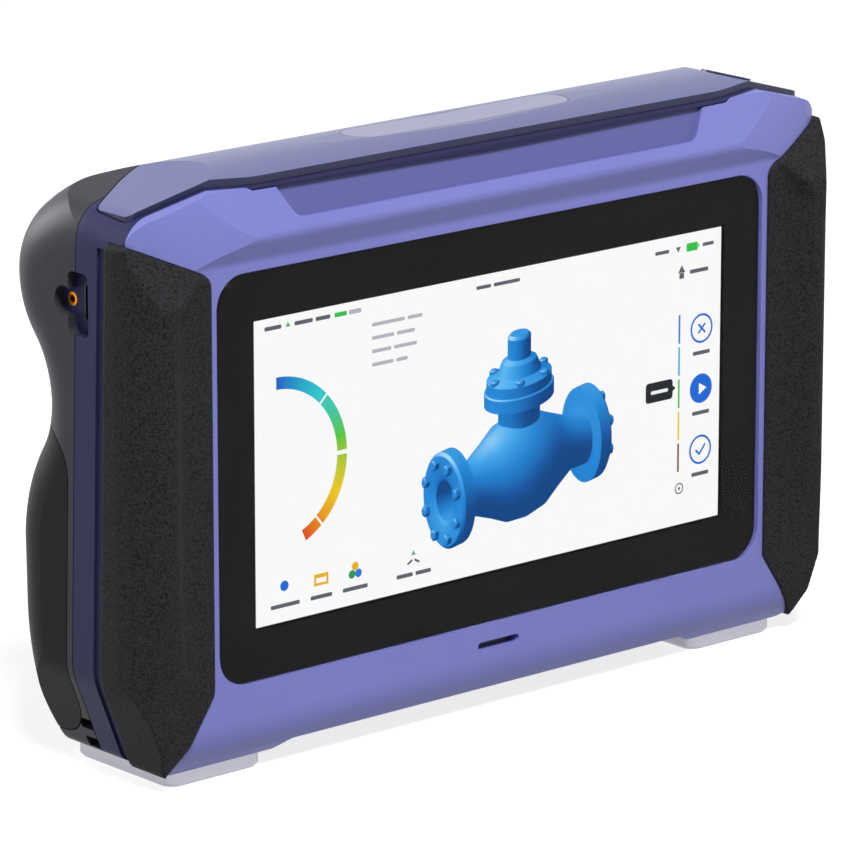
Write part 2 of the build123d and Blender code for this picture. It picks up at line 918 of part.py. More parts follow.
# Top cover with its inlay pocket and the button collar
with BuildPart() as top_cover:
    extrude(
        outline_face(Plane.XY.offset(cover_low), cover_outline), amount=top_height - cover_low + overrun
    )
    add(cap.part, mode=Mode.INTERSECT)
    with Locations((0, 0, -cover_thickness)):
        add(cap.part, mode=Mode.SUBTRACT)
    add(inlay_bed.part, mode=Mode.SUBTRACT)
    with BuildSketch(button_plane.offset(-cover_thickness / 2)):
        Circle(collar_radius)
    extrude(amount=cover_thickness / 2 + collar_proud)
    with BuildSketch(button_plane.offset(collar_proud + overrun)):
        Circle(button_radius + button_gap)
    extrude(amount=-collar_proud - cover_thickness - 2 * overrun, mode=Mode.SUBTRACT)
top_cover.part.label = "top_cover"
export_step(top_cover.part, "parts/top_cover.step")

with BuildPart() as top_inlay:
    with BuildSketch(Plane.XY.offset(cover_low)):
        with Locations((0, behind(inlay_depth))):
            SlotOverall(inlay_length, inlay_width)
    extrude(amount=top_height - cover_low + overrun)
    add(body.part, mode=Mode.INTERSECT)
    with Locations((0, 0, -inlay_thickness)):
        add(body.part, mode=Mode.SUBTRACT)
top_inlay.part.label = "top_inlay"
export_step(top_inlay.part, "parts/top_inlay.step")

# Power button with its stem, and the switch under it
with BuildPart() as power_button:
    with BuildSketch(button_plane.offset(button_proud)):
        Circle(button_radius)
    extrude(amount=-button_height)
    chamfer(power_button.edges().filter_by(GeomType.CIRCLE).sort_by(Axis.Z)[-1], length=button_dish)
    with BuildSketch(button_plane.offset(button_proud - button_height)):
        Circle(button_stem_radius)
    extrude(amount=-button_stem)
power_button.part.label = "power_button"
export_step(power_button.part, "parts/power_button.step")


def switch_prism(grow):
    """Add the block of the switch, which hangs from the cavity's ceiling, grown by a gap."""
    with BuildSketch(button_plane.offset(-switch_roof)) as face:
        RectangleRounded(switch_width + 2 * grow, switch_width + 2 * grow, switch_corner + grow)
    extrude(face.sketch, amount=switch_roof - switch_floor - switch_base - grow)


with BuildPart() as switch_room:
    switch_prism(button_gap)

with BuildPart() as button_switch:
    switch_prism(0)
    with BuildSketch(button_plane):
        Circle(button_stem_radius + button_gap)
    extrude(amount=button_proud - switch_floor - button_travel - switch_play, mode=Mode.SUBTRACT)
button_switch.part.label = "button_switch"
export_step(button_switch.part, "parts/button_switch.step")

# Cover glass, printed border, display and its tray
with BuildPart() as cover_glass:
    with BuildSketch(face_plane(0, z=glass_centre)):
        RectangleRounded(glass_width, glass_height, glass_corner)
    extrude(amount=glass_thickness)
    chamfer(cover_glass.faces().sort_by(Axis.Y)[0].edges(), length=glass_edge)
cover_glass.part.label = "cover_glass"
export_step(cover_glass.part, "parts/cover_glass.step")

with BuildPart() as glass_mask:
    with BuildSketch(face_plane(glass_thickness, z=glass_centre)):
        RectangleRounded(glass_width, glass_height, glass_corner)
        Rectangle(view_width, view_height, mode=Mode.SUBTRACT)
    extrude(amount=mask_thickness)
glass_mask.part.label = "glass_mask"
export_step(glass_mask.part, "parts/glass_mask.step")

panel_front = glass_thickness + mask_thickness + display_gap
with BuildPart() as display_panel:
    with BuildSketch(face_plane(panel_front, z=glass_centre)):
        Rectangle(view_width + 2 * panel_margin, view_height + 2 * panel_margin)
    extrude(amount=panel_thickness)
display_panel.part.label = "display_panel"
export_step(display_panel.part, "parts/display_panel.step")

panel_back = panel_front + panel_thickness
with BuildPart() as display_tray:
    tray_width = view_width + 2 * (panel_margin + tray_margin)
    tray_height = view_height + 2 * (panel_margin + tray_margin)
    with BuildSketch(face_plane(wall, z=glass_centre)):
        RectangleRounded(tray_width, tray_height, tray_margin)
    extrude(amount=panel_back - wall + tray_floor)
    with BuildSketch(face_plane(wall, z=glass_centre)):
        Rectangle(
            view_width + 2 * (panel_margin + panel_gap), view_height + 2 * (panel_margin + panel_gap)
        )
    extrude(amount=panel_back - wall, mode=Mode.SUBTRACT)
    with BuildSketch(face_plane(panel_back, z=glass_centre)):
        RectangleRounded(view_width - tray_margin, view_height - tray_margin, tray_margin)
    extrude(amount=tray_floor, mode=Mode.SUBTRACT)
display_tray.part.label = "display_tray"
export_step(display_tray.part, "parts/display_tray.step")

# Mesh and speaker behind the slot
with BuildPart() as speaker_mesh:
    with BuildSketch(face_plane(wall, z=slot_centre)):
        SlotOverall(slot_length + 2 * mesh_margin, slot_height + 2 * mesh_margin)
    extrude(amount=mesh_thickness)
speaker_mesh.part.label = "speaker_mesh"
export_step(speaker_mesh.part, "parts/speaker_mesh.step")

with BuildPart() as speaker:
    with BuildSketch(face_plane(wall + mesh_thickness, z=slot_centre)):
        RectangleRounded(speaker_length, speaker_height, speaker_corner)
    extrude(amount=speaker_reach)
    with BuildSketch(face_plane(wall + mesh_thickness, z=slot_centre)):
        SlotOverall(slot_length, speaker_height / 2)
    extrude(amount=speaker_cone_depth, mode=Mode.SUBTRACT)
speaker.part.label = "speaker"
export_step(speaker.part, "parts/speaker.step")

# Cut of the port bay through the left wall, seen from outside
def left_plane(x):
    """Plane square to X, with local X to the rear and local Y up."""
    return Plane(origin=(x, 0, 0), x_dir=(0, 1, 0), z_dir=(1, 0, 0))


with BuildPart() as bay_cut:
    with BuildSketch(left_plane(-body_half - overrun)) as bay_face:
        with Locations((behind((bay_front_depth + bay_rear_depth) / 2), bay_centre_height)):
            RectangleRounded(bay_rear_depth - bay_front_depth, bay_height, bay_corner)
        with Locations((behind(insert_depth), bay_centre_height)):
            Circle(bay_lobe_radius)
    extrude(amount=overrun + wall)

# Mid frame: band, chassis plate, posts and bosses
board_holes = [
    (sx * (board_width / 2 - board_hole_inset), board_centre + sz * (board_height / 2 - board_hole_inset))
    for sx in (-1, 1)
    for sz in (-1, 1)
]
screw_places = [(sx * screw_half, z) for sx in (-1, 1) for z in (screw_height, low_screw_height)]
screw_seats = ((screw_seat_depth, screw_height), (low_screw_seat_depth, low_screw_height))
with BuildPart() as plate:
    with BuildSketch(face_plane(plate_depth)):
        with Locations((0, -top_height / 2)):
            Rectangle(2 * body_width, top_height)
        with Locations((plate_window_x, -plate_window_z)):
            Rectangle(plate_window_width, plate_window_height, mode=Mode.SUBTRACT)
        with Locations((-plate_slot_half, -plate_slot_z), (plate_slot_half, -plate_slot_z)):
            SlotOverall(plate_slot_width, plate_slot_height, mode=Mode.SUBTRACT)
        with Locations((fan_x, -fan_z)):
            RectangleRounded(fan_width + 2 * fit, fan_width + 2 * fit, fan_corner + fit, mode=Mode.SUBTRACT)
        with Locations((-body_half, -bay_centre_height)):
            Rectangle(
                2 * (wall + port_reach + port_block_margin),
                bay_height + 2 * (port_block_margin + fit),
                mode=Mode.SUBTRACT,
            )
    extrude(amount=plate_thickness)
    add(core.part, mode=Mode.INTERSECT)

with BuildPart() as mid_frame:
    add(body.part)
    slab(front_seam_depth, rear_seam_depth - seam, Mode.INTERSECT, seam_lean)
    add(strip_cut.part, mode=Mode.SUBTRACT)
    add(flange.part)
    add(cavity.part, mode=Mode.SUBTRACT)
    add(plate.part)
    add(deck_space, mode=Mode.SUBTRACT)
    add(cover_bed.part, mode=Mode.SUBTRACT)
    with BuildSketch(face_plane(board_depth + board_thickness)):
        with Locations([(x, -z) for x, z in board_holes]):
            Circle(post_radius)
    extrude(amount=plate_depth - board_depth - board_thickness)
    with BuildSketch(face_plane(plate_depth)):
        with Locations([(x, -z) for x, z in screw_places]):
            Circle(screw_boss)
    extrude(amount=overall_depth)
    slab(rear_seam_depth - seam, 2 * overall_depth, Mode.SUBTRACT, seam_lean)
    with BuildSketch(face_plane(board_depth)):
        with Locations([(x, -z) for x, z in board_holes]):
            Circle(board_screw_radius + fit)
    extrude(amount=plate_depth - board_depth, mode=Mode.SUBTRACT)
    with BuildSketch(face_plane(screw_tip_depth)):
        with Locations([(x, -z) for x, z in screw_places]):
            Circle(screw_radius + fit)
    extrude(amount=overall_depth, mode=Mode.SUBTRACT)
    bush_top = foot_height + belly_lift + bush_length
    with BuildSketch(Plane.XY.offset(foot_height + belly_lift)):
        with Locations((0, behind(bush_depth))):
            Circle(bush_boss)
    extrude(amount=bush_length + wall)
    with BuildSketch(Plane.XY):
        with Locations((0, behind(bush_depth))):
            Circle(bush_radius)
    extrude(amount=bush_top, mode=Mode.SUBTRACT)
    with BuildSketch(Plane.XY):
        with Locations([(sx * foot_centre, behind(foot_screw_front_depth)) for sx in (-1, 1)]):
            Circle(foot_screw_radius + fit)
    extrude(amount=foot_screw_head_height + foot_screw_length + fit, mode=Mode.SUBTRACT)
    add(bay_cut.part, mode=Mode.SUBTRACT)
    add(switch_room.part, mode=Mode.SUBTRACT)
    with BuildSketch(button_plane):
        Circle(button_radius + button_gap)
    extrude(amount=button_proud - button_height - button_travel - button_gap, mode=Mode.SUBTRACT)
    with BuildSketch(button_plane):
        Circle(button_stem_radius + button_gap)
    extrude(amount=-switch_floor, mode=Mode.SUBTRACT)
mid_frame.part.label = "mid_frame"
export_step(mid_frame.part, "parts/mid_frame.step")

# Port block with the socket and the brass locking insert
block_front = port_depth - port_width / 2 - port_block_margin
block_rear = insert_depth + bay_lobe_radius + port_block_margin
with BuildPart() as port_block:
    with BuildSketch(left_plane(-body_half + wall)):
        with Locations((behind((block_front + block_rear) / 2), bay_centre_height)):
            RectangleRounded(block_rear - block_front, bay_height + 2 * port_block_margin, bay_corner)
        with Locations((behind(port_depth), bay_centre_height)):
            SlotOverall(port_length + 2 * fit, port_width + 2 * fit, rotation=90, mode=Mode.SUBTRACT)
    extrude(amount=port_block_thickness)
    with BuildSketch(left_plane(-body_half + wall)):
        with Locations((behind(insert_depth), bay_centre_height)):
            Circle(insert_radius)
    extrude(amount=insert_length, mode=Mode.SUBTRACT)
port_block.part.label = "port_block"
export_step(port_block.part, "parts/port_block.step")

with BuildPart() as usb_port:
    with BuildSketch(left_plane(-body_half + wall)):
        with Locations((behind(port_depth), bay_centre_height)):
            SlotOverall(port_length, port_width, rotation=90)
    extrude(amount=port_reach)
    with BuildSketch(left_plane(-body_half + wall)):
        with Locations((behind(port_depth), bay_centre_height)):
            SlotOverall(port_length - 2 * port_rim, port_width - 2 * port_rim, rotation=90)
            Rectangle(port_tongue_width, port_tongue_length, mode=Mode.SUBTRACT)
    extrude(amount=port_reach - port_back, mode=Mode.SUBTRACT)
usb_port.part.label = "usb_port"
export_step(usb_port.part, "parts/usb_port.step")

with BuildPart() as lock_insert:
    with BuildSketch(left_plane(-body_half + wall)):
        with Locations((behind(insert_depth), bay_centre_height)):
            Circle(insert_radius)
            Circle(insert_bore, mode=Mode.SUBTRACT)
    extrude(amount=insert_length)
lock_insert.part.label = "lock_insert"
export_step(lock_insert.part, "parts/lock_insert.step")

# Main board with its chips and sockets, and the screws that hold it
board_rear = board_depth + board_thickness
with BuildPart() as main_board:
    with BuildSketch(face_plane(board_depth)):
        with Locations((0, -board_centre)):
            RectangleRounded(board_width, board_height, board_corner)
        with Locations([(x, -z) for x, z in board_holes]):
            Circle(board_screw_radius + fit, mode=Mode.SUBTRACT)
    extrude(amount=board_thickness)
    with BuildSketch(face_plane(board_rear, x=plate_window_x, z=plate_window_z)):
        Rectangle(chip_width, chip_width)
    extrude(amount=chip_height)
    with BuildSketch(face_plane(board_rear, x=fan_x, z=plate_window_z)):
        with GridLocations(memory_pitch, memory_pitch, 2, 2):
            Rectangle(memory_width, memory_width)
    extrude(amount=memory_height)
    socket_z = board_centre + board_height / 2 - socket_depth
    with BuildSketch(face_plane(board_depth - socket_height, z=socket_z)):
        with GridLocations(2 * socket_width, socket_depth, 3, 1):
            Rectangle(socket_width, socket_depth)
    extrude(amount=socket_height)
main_board.part.label = "main_board"
export_step(main_board.part, "parts/main_board.step")

with BuildPart() as board_screws:
    with BuildSketch(face_plane(board_depth - board_screw_head_height)):
        with Locations([(x, -z) for x, z in board_holes]):
            Circle(board_screw_head)
    extrude(amount=board_screw_head_height)
    with BuildSketch(face_plane(board_depth)):
        with Locations([(x, -z) for x, z in board_holes]):
            Circle(board_screw_radius)
    extrude(amount=plate_depth - board_depth - fit)
board_screws.part.label = "board_screws"
export_step(board_screws.part, "parts/board_screws.step")

# Heat sink on the processor, through the window of the chassis plate
with BuildPart() as heat_sink:
    sink_width = plate_window_width - 2 * sink_gap
    sink_height = plate_window_height - 2 * sink_gap
    sink_depth = board_rear + chip_height
    with BuildSketch(face_plane(sink_depth, x=plate_window_x, z=plate_window_z)):
        Rectangle(sink_width, sink_height)
    extrude(amount=sink_base)
    fin_pitch = (sink_width - sink_fin_thickness) / (sink_fin_count - 1)
    with BuildSketch(face_plane(sink_depth + sink_base, x=plate_window_x, z=plate_window_z)):
        with GridLocations(fin_pitch, sink_height, sink_fin_count, 1):
            Rectangle(sink_fin_thickness, sink_height)
    extrude(amount=sink_fin_height)
heat_sink.part.label = "heat_sink"
export_step(heat_sink.part, "parts/heat_sink.step")

# Blower beside the heat sink: frame with its spindle, and the rotor
fan_front = board_rear + chip_height
with BuildPart() as fan_frame:
    with BuildSketch(face_plane(fan_front, x=fan_x, z=fan_z)):
        RectangleRounded(fan_width, fan_width, fan_corner)
    extrude(amount=fan_thickness)
    with BuildSketch(face_plane(fan_front + fan_base, x=fan_x, z=fan_z)):
        Circle(fan_bore_radius)
        with Locations((-fan_width / 2, 0)):
            Rectangle(fan_width, fan_intake)
        Circle(fan_pin_radius, mode=Mode.SUBTRACT)
    extrude(amount=fan_thickness - fan_base, mode=Mode.SUBTRACT)
fan_frame.part.label = "fan_frame"
export_step(fan_frame.part, "parts/fan_frame.step")

with BuildPart() as fan_rotor:
    rotor_front = fan_front + fan_base + fan_run_gap
    with BuildSketch(face_plane(rotor_front, x=fan_x, z=fan_z)):
        Circle(fan_hub_radius)
        with PolarLocations(fan_blade_middle, fan_blade_count):
            Rectangle(fan_blade_length, fan_blade_thickness, rotation=fan_blade_angle)
        Circle(fan_pin_radius + fit, mode=Mode.SUBTRACT)
    extrude(amount=fan_thickness - fan_base - 2 * fan_run_gap)
fan_rotor.part.label = "fan_rotor"
export_step(fan_rotor.part, "parts/fan_rotor.step")


def pod_prism(grow):
    """Add the prism of the rear pod, seen from the side and grown by a gap, to the part under way."""
    with BuildSketch(Plane.YZ) as face:
        with Locations((behind(pod_front_depth), pod_low)):
            Rectangle(dome_depth, pod_top - pod_low, align=(Align.MIN, Align.MIN))
        fillet(face.vertices().group_by(Axis.X)[0].sort_by(Axis.Y)[0], radius=pod_low_corner)
        fillet(face.vertices().group_by(Axis.X)[0].sort_by(Axis.Y)[-1], radius=pod_top_corner)
        if grow:
            offset(amount=grow)
    pivot = Axis((0, behind(pod_front_depth), glass_centre), (1, 0, 0))
    extrude(face.sketch.rotate(pivot, seam_lean), amount=body_width, both=True)


with BuildPart() as pod_cut:
    pod_prism(seam)

# Walls and bosses inside the rear housing, sunk into its skin
with BuildPart() as rear_ribs:
    pod_prism(seam + bay_floor)
    add(pod_cut.part, mode=Mode.SUBTRACT)
    with BuildSketch(face_plane(plate_depth, z=screw_height)):
        with Locations((-screw_half, 0), (screw_half, 0)):
            Circle(screw_boss)
    extrude(amount=dome_depth - plate_depth)
    with BuildSketch(facet_plane):
        Rectangle(2 * lanyard_block, 2 * lanyard_block)
    extrude(amount=-lanyard_block)
    add(core.part, mode=Mode.INTERSECT)
    slab(-overall_depth, rear_seam_depth, Mode.SUBTRACT, seam_lean)

# Rear housing: optics bar, finger waist, battery bay, vents and lanyard bar
with BuildPart() as rear_housing:
    add(body.part)
    slab(rear_seam_depth, 2 * overall_depth, Mode.INTERSECT, seam_lean)
    add(cavity.part, mode=Mode.SUBTRACT)
    add(rear_ribs.part)
    add(cover_bed.part, mode=Mode.SUBTRACT)
    add(pod_cut.part, mode=Mode.SUBTRACT)
    add(bay_cut.part, mode=Mode.SUBTRACT)
    add(bush_room.part, mode=Mode.SUBTRACT)
    # Lanyard holes and the channel behind the bar
    hole_shift = (lanyard_hole + lanyard_bar) / 2
    with BuildSketch(facet_plane):
        with Locations((0, -hole_shift), (0, hole_shift)):
            Rectangle(lanyard_width, lanyard_hole)
    extrude(amount=-lanyard_reach, mode=Mode.SUBTRACT)
    with BuildSketch(facet_plane.offset(-lanyard_skin)):
        Rectangle(lanyard_width, 2 * lanyard_hole + lanyard_bar)
    extrude(amount=lanyard_skin - lanyard_reach, mode=Mode.SUBTRACT)
    # Lens window seat and opening
    with BuildSketch(face_plane(window_floor_depth, z=window_centre)):
        RectangleRounded(
            window_width + 2 * window_gap, window_height + 2 * window_gap, window_corner + window_gap
        )
    extrude(amount=overall_depth, mode=Mode.SUBTRACT)
    with BuildSketch(face_plane(nape_depth - overrun, z=window_centre)):
        RectangleRounded(
            window_width - 2 * window_lip, window_height - 2 * window_lip, window_corner - window_lip
        )
    extrude(amount=overall_depth, mode=Mode.SUBTRACT)
    # Vents in the waist
    with BuildSketch(face_plane(nape_depth - 2 * overrun, z=vent_centre)):
        with GridLocations(vent_pitch, vent_height, vent_count, 1):
            SlotOverall(vent_height, vent_width, rotation=90)
    extrude(amount=4 * overrun, mode=Mode.SUBTRACT)
    # Screw seats and holes
    for seat, height in screw_seats:
        with BuildSketch(face_plane(seat, z=height)):
            with Locations((-screw_half, 0), (screw_half, 0)):
                Circle(screw_bore)
        extrude(amount=overall_depth, mode=Mode.SUBTRACT)
    with BuildSketch(face_plane(screw_tip_depth)):
        with Locations([(x, -z) for x, z in screw_places]):
            Circle(screw_radius + fit)
    extrude(amount=screw_seat_depth - screw_tip_depth, mode=Mode.SUBTRACT)
    with BuildSketch(Plane.XY):
        with Locations([(sx * foot_centre, behind(foot_screw_rear_depth)) for sx in (-1, 1)]):
            Circle(foot_screw_radius + fit)
    extrude(amount=foot_screw_sink + foot_screw_head_height + foot_screw_length, mode=Mode.SUBTRACT)
rear_housing.part.label = "rear_housing"
export_step(rear_housing.part, "parts/rear_housing.step")

# Battery cover: the rounded lower pod, and the battery in it
with BuildPart() as battery_cover:
    pod_prism(0)
    add(body.part, mode=Mode.INTERSECT)
    add(pod_room.part, mode=Mode.SUBTRACT)
battery_cover.part.label = "battery_cover"
export_step(battery_cover.part, "parts/battery_cover.step")

with BuildPart() as battery_pack:
    battery_drop = glass_centre - battery_base - battery_height / 2
    with BuildSketch(face_plane(pod_front_depth, z=glass_centre).rotated((seam_lean, 0, 0))):
        with Locations((0, battery_drop)):
            RectangleRounded(battery_width, battery_height, battery_corner)
    extrude(amount=battery_thickness)
    chamfer(battery_pack.faces().sort_by(Axis.Y)[-1].edges(), length=battery_edge)
battery_pack.part.label = "battery_pack"
export_step(battery_pack.part, "parts/battery_pack.step")

# Lens window
with BuildPart() as lens_window:
    with BuildSketch(face_plane(window_floor_depth, z=window_centre)):
        RectangleRounded(window_width, window_height, window_corner)
    extrude(amount=window_thickness)
lens_window.part.label = "lens_window"
export_step(lens_window.part, "parts/lens_window.step")

# Optics beam on posts from the chassis plate
with BuildPart() as optics_beam:
    with BuildSketch(face_plane(beam_depth, z=window_centre)):
        Rectangle(beam_width, beam_height)
        with GridLocations(beam_hole_pitch, beam_height, beam_hole_count, 1):
            Circle(beam_hole_radius, mode=Mode.SUBTRACT)
    extrude(amount=beam_thickness)
    with BuildSketch(face_plane(beam_depth - beam_flange, z=window_centre)):
        with GridLocations(beam_width, beam_height - beam_flange_thickness, 1, 2):
            Rectangle(beam_width, beam_flange_thickness)
    extrude(amount=beam_flange)
    with BuildSketch(face_plane(plate_depth + plate_thickness, z=window_centre)):
        with GridLocations(2 * beam_post_half, beam_height - 2 * beam_post_radius, 2, 2):
            Circle(beam_post_radius)
    extrude(amount=beam_depth - plate_depth - plate_thickness)
optics_beam.part.label = "optics_beam"
export_step(optics_beam.part, "parts/optics_beam.step")

optics_rear = window_floor_depth - optics_gap
beam_rear = beam_depth + beam_thickness
camera_body_reach = camera_body_share * (optics_rear - beam_rear)


def lens_module(x, width, barrel_radius):
    """Sensor housing with a stepped lens barrel that looks to the rear."""
    with BuildPart() as module:
        with BuildSketch(face_plane(beam_rear, x=x, z=window_centre)):
            RectangleRounded(width, min(width, camera_body), camera_corner)
        extrude(amount=camera_body_reach)
        with BuildSketch(face_plane(beam_rear + camera_body_reach, x=x, z=window_centre)):
            Circle(barrel_radius)
        extrude(amount=optics_rear - camera_tip_reach - beam_rear - camera_body_reach)
        with BuildSketch(face_plane(optics_rear - camera_tip_reach, x=x, z=window_centre)):
            Circle(barrel_radius - lens_rim)
        extrude(amount=camera_tip_reach)
        with BuildSketch(face_plane(optics_rear - lens_dish, x=x, z=window_centre)):
            Circle(barrel_radius - 2 * lens_rim)
        extrude(amount=lens_dish, mode=Mode.SUBTRACT)
    return module.part


lens_modules = {
    "left_camera": (-camera_half, camera_body, camera_barrel_radius),
    "right_camera": (camera_half, camera_body, camera_barrel_radius),
    "projector": (projector_x, projector_width, projector_barrel_radius),
    "texture_camera": (texture_x, texture_body, texture_barrel_radius),
}
for name, (x, width, barrel_radius) in lens_modules.items():
    module_part = lens_module(x, width, barrel_radius)
    module_part.label = name
    export_step(module_part, f"parts/{name}.step")

with BuildPart() as fill_lights:
    with BuildSketch(face_plane(beam_rear, z=window_centre)):
        with Locations([(x, 0) for x in light_xs]):
            RectangleRounded(light_width, light_width, light_board)
    extrude(amount=optics_rear - beam_rear - 2 * light_board)
    with BuildSketch(face_plane(optics_rear - 2 * light_board, z=window_centre)):
        with Locations([(x, 0) for x in light_xs]):
            Circle(light_radius)
    extrude(amount=light_board)
fill_lights.part.label = "fill_lights"
export_step(fill_lights.part, "parts/fill_lights.step")

# Feet, with their screws
with BuildPart() as right_foot:
    foot_middle = behind((foot_front_depth + foot_rear_depth) / 2)
    with BuildSketch(Plane.XY):
        with Locations((foot_centre, foot_middle)):
            RectangleRounded(foot_outer - foot_inner, foot_rear_depth - foot_front_depth, foot_corner)
    extrude(amount=foot_height)
    chamfer(right_foot.faces().sort_by(Axis.Z)[0].edges(), length=foot_edge)
    foot_holes = [(foot_centre, behind(d)) for d in (foot_screw_front_depth, foot_screw_rear_depth)]
    with BuildSketch(Plane.XY):
        with Locations(foot_holes):
            Circle(foot_screw_head + fit)
    extrude(amount=foot_screw_sink + foot_screw_head_height, mode=Mode.SUBTRACT)
    with BuildSketch(Plane.XY):
        with Locations(foot_holes):
            Circle(foot_screw_radius + fit)
    extrude(amount=foot_height, mode=Mode.SUBTRACT)
right_foot.part.label = "right_foot"
export_step(right_foot.part, "parts/right_foot.step")

with BuildPart() as left_foot:
    mirror(right_foot.part, about=Plane.YZ)
left_foot.part.label = "left_foot"
export_step(left_foot.part, "parts/left_foot.step")

foot_screw_places = [
    (sx * foot_centre, behind(d)) for sx in (-1, 1) for d in (foot_screw_front_depth, foot_screw_rear_depth)
]
with BuildPart() as foot_screws:
    with BuildSketch(Plane.XY.offset(foot_screw_sink)):
        with Locations(foot_screw_places):
            Circle(foot_screw_head)
            RegularPolygon(screw_drive, 6, mode=Mode.SUBTRACT)
    extrude(amount=foot_screw_head_height)
    with BuildSketch(Plane.XY.offset(foot_screw_sink + screw_drive_depth)):
        with Locations(foot_screw_places):
            Circle(foot_screw_radius)
    extrude(amount=foot_screw_head_height - screw_drive_depth + foot_screw_length)
foot_screws.part.label = "foot_screws"
export_step(foot_screws.part, "parts/foot_screws.step")

# Housing screws: two in the waist, two under the battery cover
with BuildPart() as housing_screws:
    for seat, height in screw_seats:
        with BuildSketch(face_plane(seat, z=height)):
            with Locations((-screw_half, 0), (screw_half, 0)):
                Circle(screw_head)
        extrude(amount=screw_head_height)
        with BuildSketch(face_plane(seat + screw_head_height - screw_drive_depth, z=height)):
            with Locations((-screw_half, 0), (screw_half, 0)):
                RegularPolygon(screw_drive, 6)
        extrude(amount=screw_drive_depth, mode=Mode.SUBTRACT)
        with BuildSketch(face_plane(screw_tip_depth, z=height)):
            with Locations((-screw_half, 0), (screw_half, 0)):
                Circle(screw_radius)
        extrude(amount=seat - screw_tip_depth)
housing_screws.part.label = "housing_screws"
export_step(housing_screws.part, "parts/housing_screws.step")

# Tripod bush in the belly
with BuildPart() as tripod_bush:
    with BuildSketch(Plane.XY.offset(foot_height + belly_lift)):
        with Locations((0, behind(bush_depth))):
            Circle(bush_radius)
    extrude(amount=bush_length)
    with BuildSketch(Plane.XY.offset(foot_height + belly_lift)):
        with Locations((0, behind(bush_depth))):
            Circle(bush_bore)
    extrude(amount=bush_length - bush_roof, mode=Mode.SUBTRACT)
tripod_bush.part.label = "tripod_bush"
export_step(tripod_bush.part, "parts/tripod_bush.step")
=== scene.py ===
"""Looks of a hand-held 3D scanner with a built-in screen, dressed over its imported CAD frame.

Frame: X to the user's right, Y from the screen towards the lenses, Z up, in metres. Sizes in the
classes are millimetres, which MM turns to metres, and those of the studio are metres.
"""

import logging
import math
from dataclasses import dataclass, field
from enum import Enum
from typing import Any

import bpy
from bpy.types import Material, MeshPolygon, Node, NodeSocket, NodeTree, Object
from mathutils import Matrix, Vector

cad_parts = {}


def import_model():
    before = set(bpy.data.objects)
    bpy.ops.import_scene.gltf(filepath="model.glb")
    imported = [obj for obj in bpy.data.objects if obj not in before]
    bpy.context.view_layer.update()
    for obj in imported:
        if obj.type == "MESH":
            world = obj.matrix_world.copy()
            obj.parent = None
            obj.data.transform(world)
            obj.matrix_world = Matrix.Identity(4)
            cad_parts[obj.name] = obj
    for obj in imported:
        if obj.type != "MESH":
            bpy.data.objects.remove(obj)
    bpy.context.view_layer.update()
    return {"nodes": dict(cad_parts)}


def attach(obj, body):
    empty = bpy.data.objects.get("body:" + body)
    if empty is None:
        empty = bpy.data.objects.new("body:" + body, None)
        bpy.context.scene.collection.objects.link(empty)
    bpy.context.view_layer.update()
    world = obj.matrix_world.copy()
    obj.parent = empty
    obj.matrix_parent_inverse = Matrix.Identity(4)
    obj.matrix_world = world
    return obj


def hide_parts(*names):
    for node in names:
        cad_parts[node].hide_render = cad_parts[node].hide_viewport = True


LOG = logging.getLogger("scanner")
MM = 0.001
QUARTER = math.pi / 2
HOUSING = "housing"
WHITE = "#FFFFFF"
# Corners nearer than this are one, in millimetres.
MERGE = 0.001
# Edges flatter than this are shaded as one curve.
SMOOTH_ANGLE = math.radians(40)

Colour = tuple[float, float, float, float]
Point = tuple[float, float, float]
Cut = tuple[Point, Point]
Profile = tuple[tuple[float, float], ...]


def linear(code: str) -> Colour:
    """Turn an sRGB colour to linear light.

    Args:
        code: The colour as "#RRGGBB".

    Returns:
        Linear red, green and blue, with an alpha of one.
    """
    levels = [int(code[i : i + 2], 16) / 255 for i in (1, 3, 5)]
    red, green, blue = [v / 12.92 if v <= 0.04045 else ((v + 0.055) / 1.055) ** 2.4 for v in levels]
    return (red, green, blue, 1.0)


def per_metre(size_mm: float) -> float:
    """Texture scale at which one feature of the pattern is size_mm wide."""
    return 1.0 / (size_mm * MM)


def adjust(node: Node, settings: dict[Any, Any]) -> None:
    """Set a node's values.

    Args:
        node: The node.
        settings: Values by the name or number of an input, or by the name of a property.
    """
    for key, value in settings.items():
        if isinstance(key, int) or key in node.inputs:
            node.inputs[key].default_value = value
        else:
            setattr(node, key, value)


def add_node(
    tree: NodeTree,
    kind: str,
    settings: dict[Any, Any] | None = None,
    links: dict[Any, NodeSocket] | None = None,
) -> Node:
    """Add a node to a material's tree.

    Args:
        tree: The tree that gets the node.
        kind: Blender's name of the node's class.
        settings: Values by the name or number of an input, or by the name of a property.
        links: Output sockets by the name or number of the input that they feed.

    Returns:
        The new node.
    """
    node = tree.nodes.new(kind)
    adjust(node, settings or {})
    for key, socket in (links or {}).items():
        tree.links.new(socket, node.inputs[key])
    return node


class Slot(Enum):
    """Material slots of the record."""

    BLUE = "blue_shell"
    NAVY = "navy_frame"
    COVER = "satin_cover"
    INLAY = "pale_inlay"
    CHARCOAL = "charcoal_shell"
    BLACK = "black_plastic"
    RUBBER = "grip_rubber"
    GLASS = "screen_glass"
    LENS = "lens_glass"
    PRINT = "black_print"
    DISPLAY = "display"
    BOARD = "board"
    CAST = "cast_metal"
    STEEL = "steel"
    BRASS = "brass"
    WRAP = "battery_wrap"
    LAMP = "lamp"


